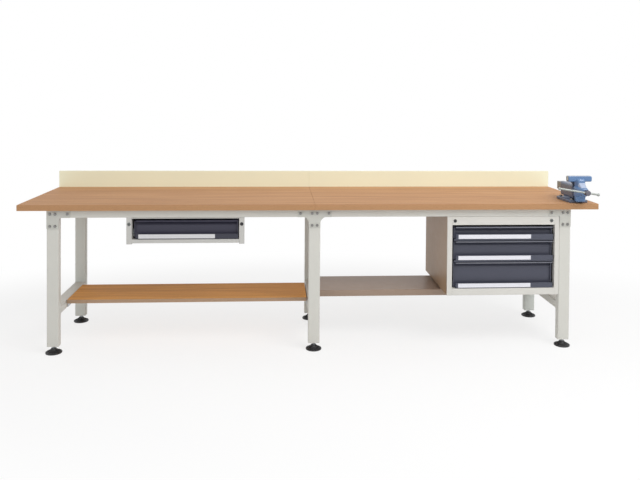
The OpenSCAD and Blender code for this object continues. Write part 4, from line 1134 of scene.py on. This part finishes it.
def makeViseSteel(s, cx, top, jawY, face, screwZ):
    # the slide: a steel channel, open below, over the screw
    w, h, t = s["beamWide"] / 2, s["beamHigh"] / 2, s["slotTop"]
    low, high = screwZ - h, screwZ + h
    channel = [(cx - w, low), (cx - w, high), (cx + w, high), (cx + w, low), (cx + w - t, low),
               (cx + w - t, high - t), (cx - w + t, high - t), (cx - w + t, low)]
    bm = bmesh.new()
    addPrism(bm, roundCorners(channel, 1.2 * mm, 3), face - 1 * mm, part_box("vise_jaw")[1].y, "Y", 1 * mm)
    makePiece("vise_slide", bm, "slide", "vise_jaw_body")

    # hardened plates with crossed grooves
    for node, body, name in (("vise_fixed_plate", "bench", "fixed"),
                             ("vise_jaw_plate", "vise_jaw_body", "moving")):
        lo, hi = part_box(node)
        bm = bmesh.new()
        addBox(bm, lo, hi, 0.7 * mm)
        plate = makePiece(f"jaw_plate_{name}", bm, "ground", body, [node])
        cutter = bmesh.new()
        wide, high, grip = hi.x - lo.x, hi.z - lo.z, lo.y if name == "fixed" else hi.y
        size = Matrix.Diagonal((s["grooveWide"], s["grooveWide"], s["grooveLong"], 1))
        for k in range(int((wide + high) / s["grooveStep"])):
            place = (lo.x - high / 4 + k * s["grooveStep"], grip, (lo.z + hi.z) / 2)
            for lean in (-1, 1):
                part = bmesh.new()
                bmesh.ops.create_cube(part, size=1)
                turn = Matrix.Rotation(lean * math.pi / 4, 4, "Y")
                mergeInto(cutter, part, Matrix.Translation(place) @ turn @ size)
        cutAway(plate, cutter)

    # screw: turned head with the bar's hole, collar, and a thread inside the slide
    lo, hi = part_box("vise_screw")
    place = Vector((cx, lo.y + s["headHalf"], screwZ))
    turn = Matrix.Rotation(barTilt, 4, "Y")
    along = turn @ Matrix.Rotation(math.pi / 2, 4, "Y")
    end = hi.y - place.y
    profile = list(s["screwHead"])
    for k in range(int((end - s["threadFrom"]) / s["pitch"])):
        profile += [(r, s["threadFrom"] + k * s["pitch"] + z) for r, z in s["thread"]]
    profile += [(6 * mm, end - 0.5 * mm), (5 * mm, end), (0, end)]
    bm = bmesh.new()
    addLathe(bm, profile, place, "Y")
    screw = makePiece("vise_screw_turned", bm, "screwSteel", "vise_screw_body", ["vise_screw"])
    cutter = bmesh.new()
    addLathe(cutter, s["barHole"], place, along, 32)
    cutAway(screw, cutter)

    # bar with a ball knob pressed on each end
    bm = bmesh.new()
    profile = s["bar"] + [(radius, -height) for radius, height in s["bar"][::-1]]
    addLathe(bm, profile, place - (turn @ Vector((s["barSlid"], 0, 0))), along, 40)
    makePiece("vise_bar_turned", bm, "turned", "vise_bar_body", ["vise_bar"])

    # bolts through the worktop, with flat nuts
    under, seat, middle = topBox[0].z, top + s["baseHigh"], jawY + s["baseMiddle"]
    low, high = under - s["boltBelow"], seat + 0.5 * mm
    bm = bmesh.new()
    for x in (cx - s["boltX"], cx + s["boltX"]):
        for y in (middle - s["boltY"], middle + s["boltY"]):
            addHexHead(bm, x, y, seat, s["boltFlats"], s["boltHead"], "Z")
            addLathe(bm, [(0, low), (4.2 * mm, low), (5 * mm, low + 1 * mm), (5 * mm, high), (0, high)],
                     (x, y, 0), "Z", 24)
            addHexHead(bm, x, y, under, s["boltFlats"], s["nut"], Matrix.Rotation(math.pi, 4, "X"))
    makePiece("vise_bolt_set", bm, "bolt", "bench", ["vise_bolts"], sharpAngle=28,
              weld=False)


def makeVise(s):
    top = topBox[1].z
    places = (middleOf("vise_body")[0], top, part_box("vise_fixed_plate")[0].y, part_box("vise_jaw_plate")[0].y,
              top + s["screwUp"])
    makeViseCastings(s, *places)
    makeViseSteel(s, *places)


makeVise(vise)
print("vise made")


# Studio: white floor that keeps a soft shadow near the feet, white surroundings and soft lamps

studio = {
    "floorSize": 60, "floorColour": "#F7F7F7", "shadowRadius": (1.9, 3.2), "shadowLift": 0.74, "sky": 0.56,
    "lamps": [
        ("key", (2.0, -2.3, 3.4), (0.3, 0.0, 0.5), (2.8, 1.8), 84),
        ("fill", (-2.6, -3.4, 2.2), (-0.4, 0.0, 0.45), (3.5, 2.4), 20),
        ("above", (0.6, 0.4, 3.3), (0.3, 0.1, 0.7), (5.0, 2.6), 12),
    ],
}


def seenDirectly(tree):
    # one for rays from the camera, from a gloss and through glass, and zero for those that light the bench
    rays = addNode(tree, "LightPath").outputs
    seen = addNode(tree, "Math", {"operation": "MAXIMUM"},
                   {0: rays["Is Camera Ray"], 1: rays["Is Glossy Ray"]})
    return addNode(tree, "Math", {"operation": "MAXIMUM"}, {0: seen, 1: rays["Is Transmission Ray"]})


def makeStudio(s):
    bm = bmesh.new()
    bmesh.ops.create_grid(bm, x_segments=8, y_segments=8, size=s["floorSize"] / 2)
    mesh = bpy.data.meshes.new("studioFloor")
    bm.to_mesh(mesh)
    bm.free()
    floor = bpy.data.objects.new("studioFloor", mesh)
    scene.collection.objects.link(floor)
    material = bpy.data.materials.new("whiteStudioFloor")
    material.use_nodes = True
    tree = material.node_tree
    shader = tree.nodes["Principled BSDF"]
    shader.inputs["Base Color"].default_value = linear(s["floorColour"])
    shader.inputs["Roughness"].default_value = 0.9
    shader.inputs["Specular IOR Level"].default_value = 0.1
    place = addNode(tree, "TexCoord").outputs["Object"]
    squeezed = addNode(tree, "VectorMath", {"operation": "MULTIPLY", 1: (0.62, 1.0, 1.0)}, {0: place})
    distance = addNode(tree, "VectorMath", {"operation": "LENGTH"}, {0: squeezed})
    near, far = (radius * 0.62 for radius in s["shadowRadius"])
    fade = addNode(tree, "MapRange", {"interpolation_type": "SMOOTHSTEP", "From Min": near, "From Max": far,
                                      "To Min": s["shadowLift"]},
                   {"Value": distance.outputs["Value"]})
    glow = addNode(tree, "Emission", {"Color": (1, 1, 1, 1), "Strength": 1.0})
    share = addNode(tree, "Math", {"operation": "MULTIPLY"}, {0: fade, 1: seenDirectly(tree)})
    mixed = addNode(tree, "MixShader", links={0: share, 1: shader, 2: glow})
    tree.links.new(mixed.outputs[0], tree.nodes["Material Output"].inputs["Surface"])
    mesh.materials.append(material)

    world = bpy.data.worlds.new("whiteStudio")
    scene.world = world
    world.use_nodes = True
    tree = world.node_tree
    back = tree.nodes["Background"]
    back.inputs["Color"].default_value = (1, 1, 1, 1)
    level = addNode(tree, "MapRange", {"To Min": s["sky"], "To Max": 1.0}, {"Value": seenDirectly(tree)})
    tree.links.new(level.outputs[0], back.inputs["Strength"])

    for name, place, aim, size, power in s["lamps"]:
        data = bpy.data.lights.new(name, "AREA")
        data.shape = "RECTANGLE"
        data.size, data.size_y = size
        data.energy = power
        lamp = bpy.data.objects.new(name, data)
        scene.collection.objects.link(lamp)
        lamp.location = place
        lamp.rotation_euler = (Vector(aim) - Vector(place)).to_track_quat("-Z", "Y").to_euler()


makeStudio(studio)
print("studio made")
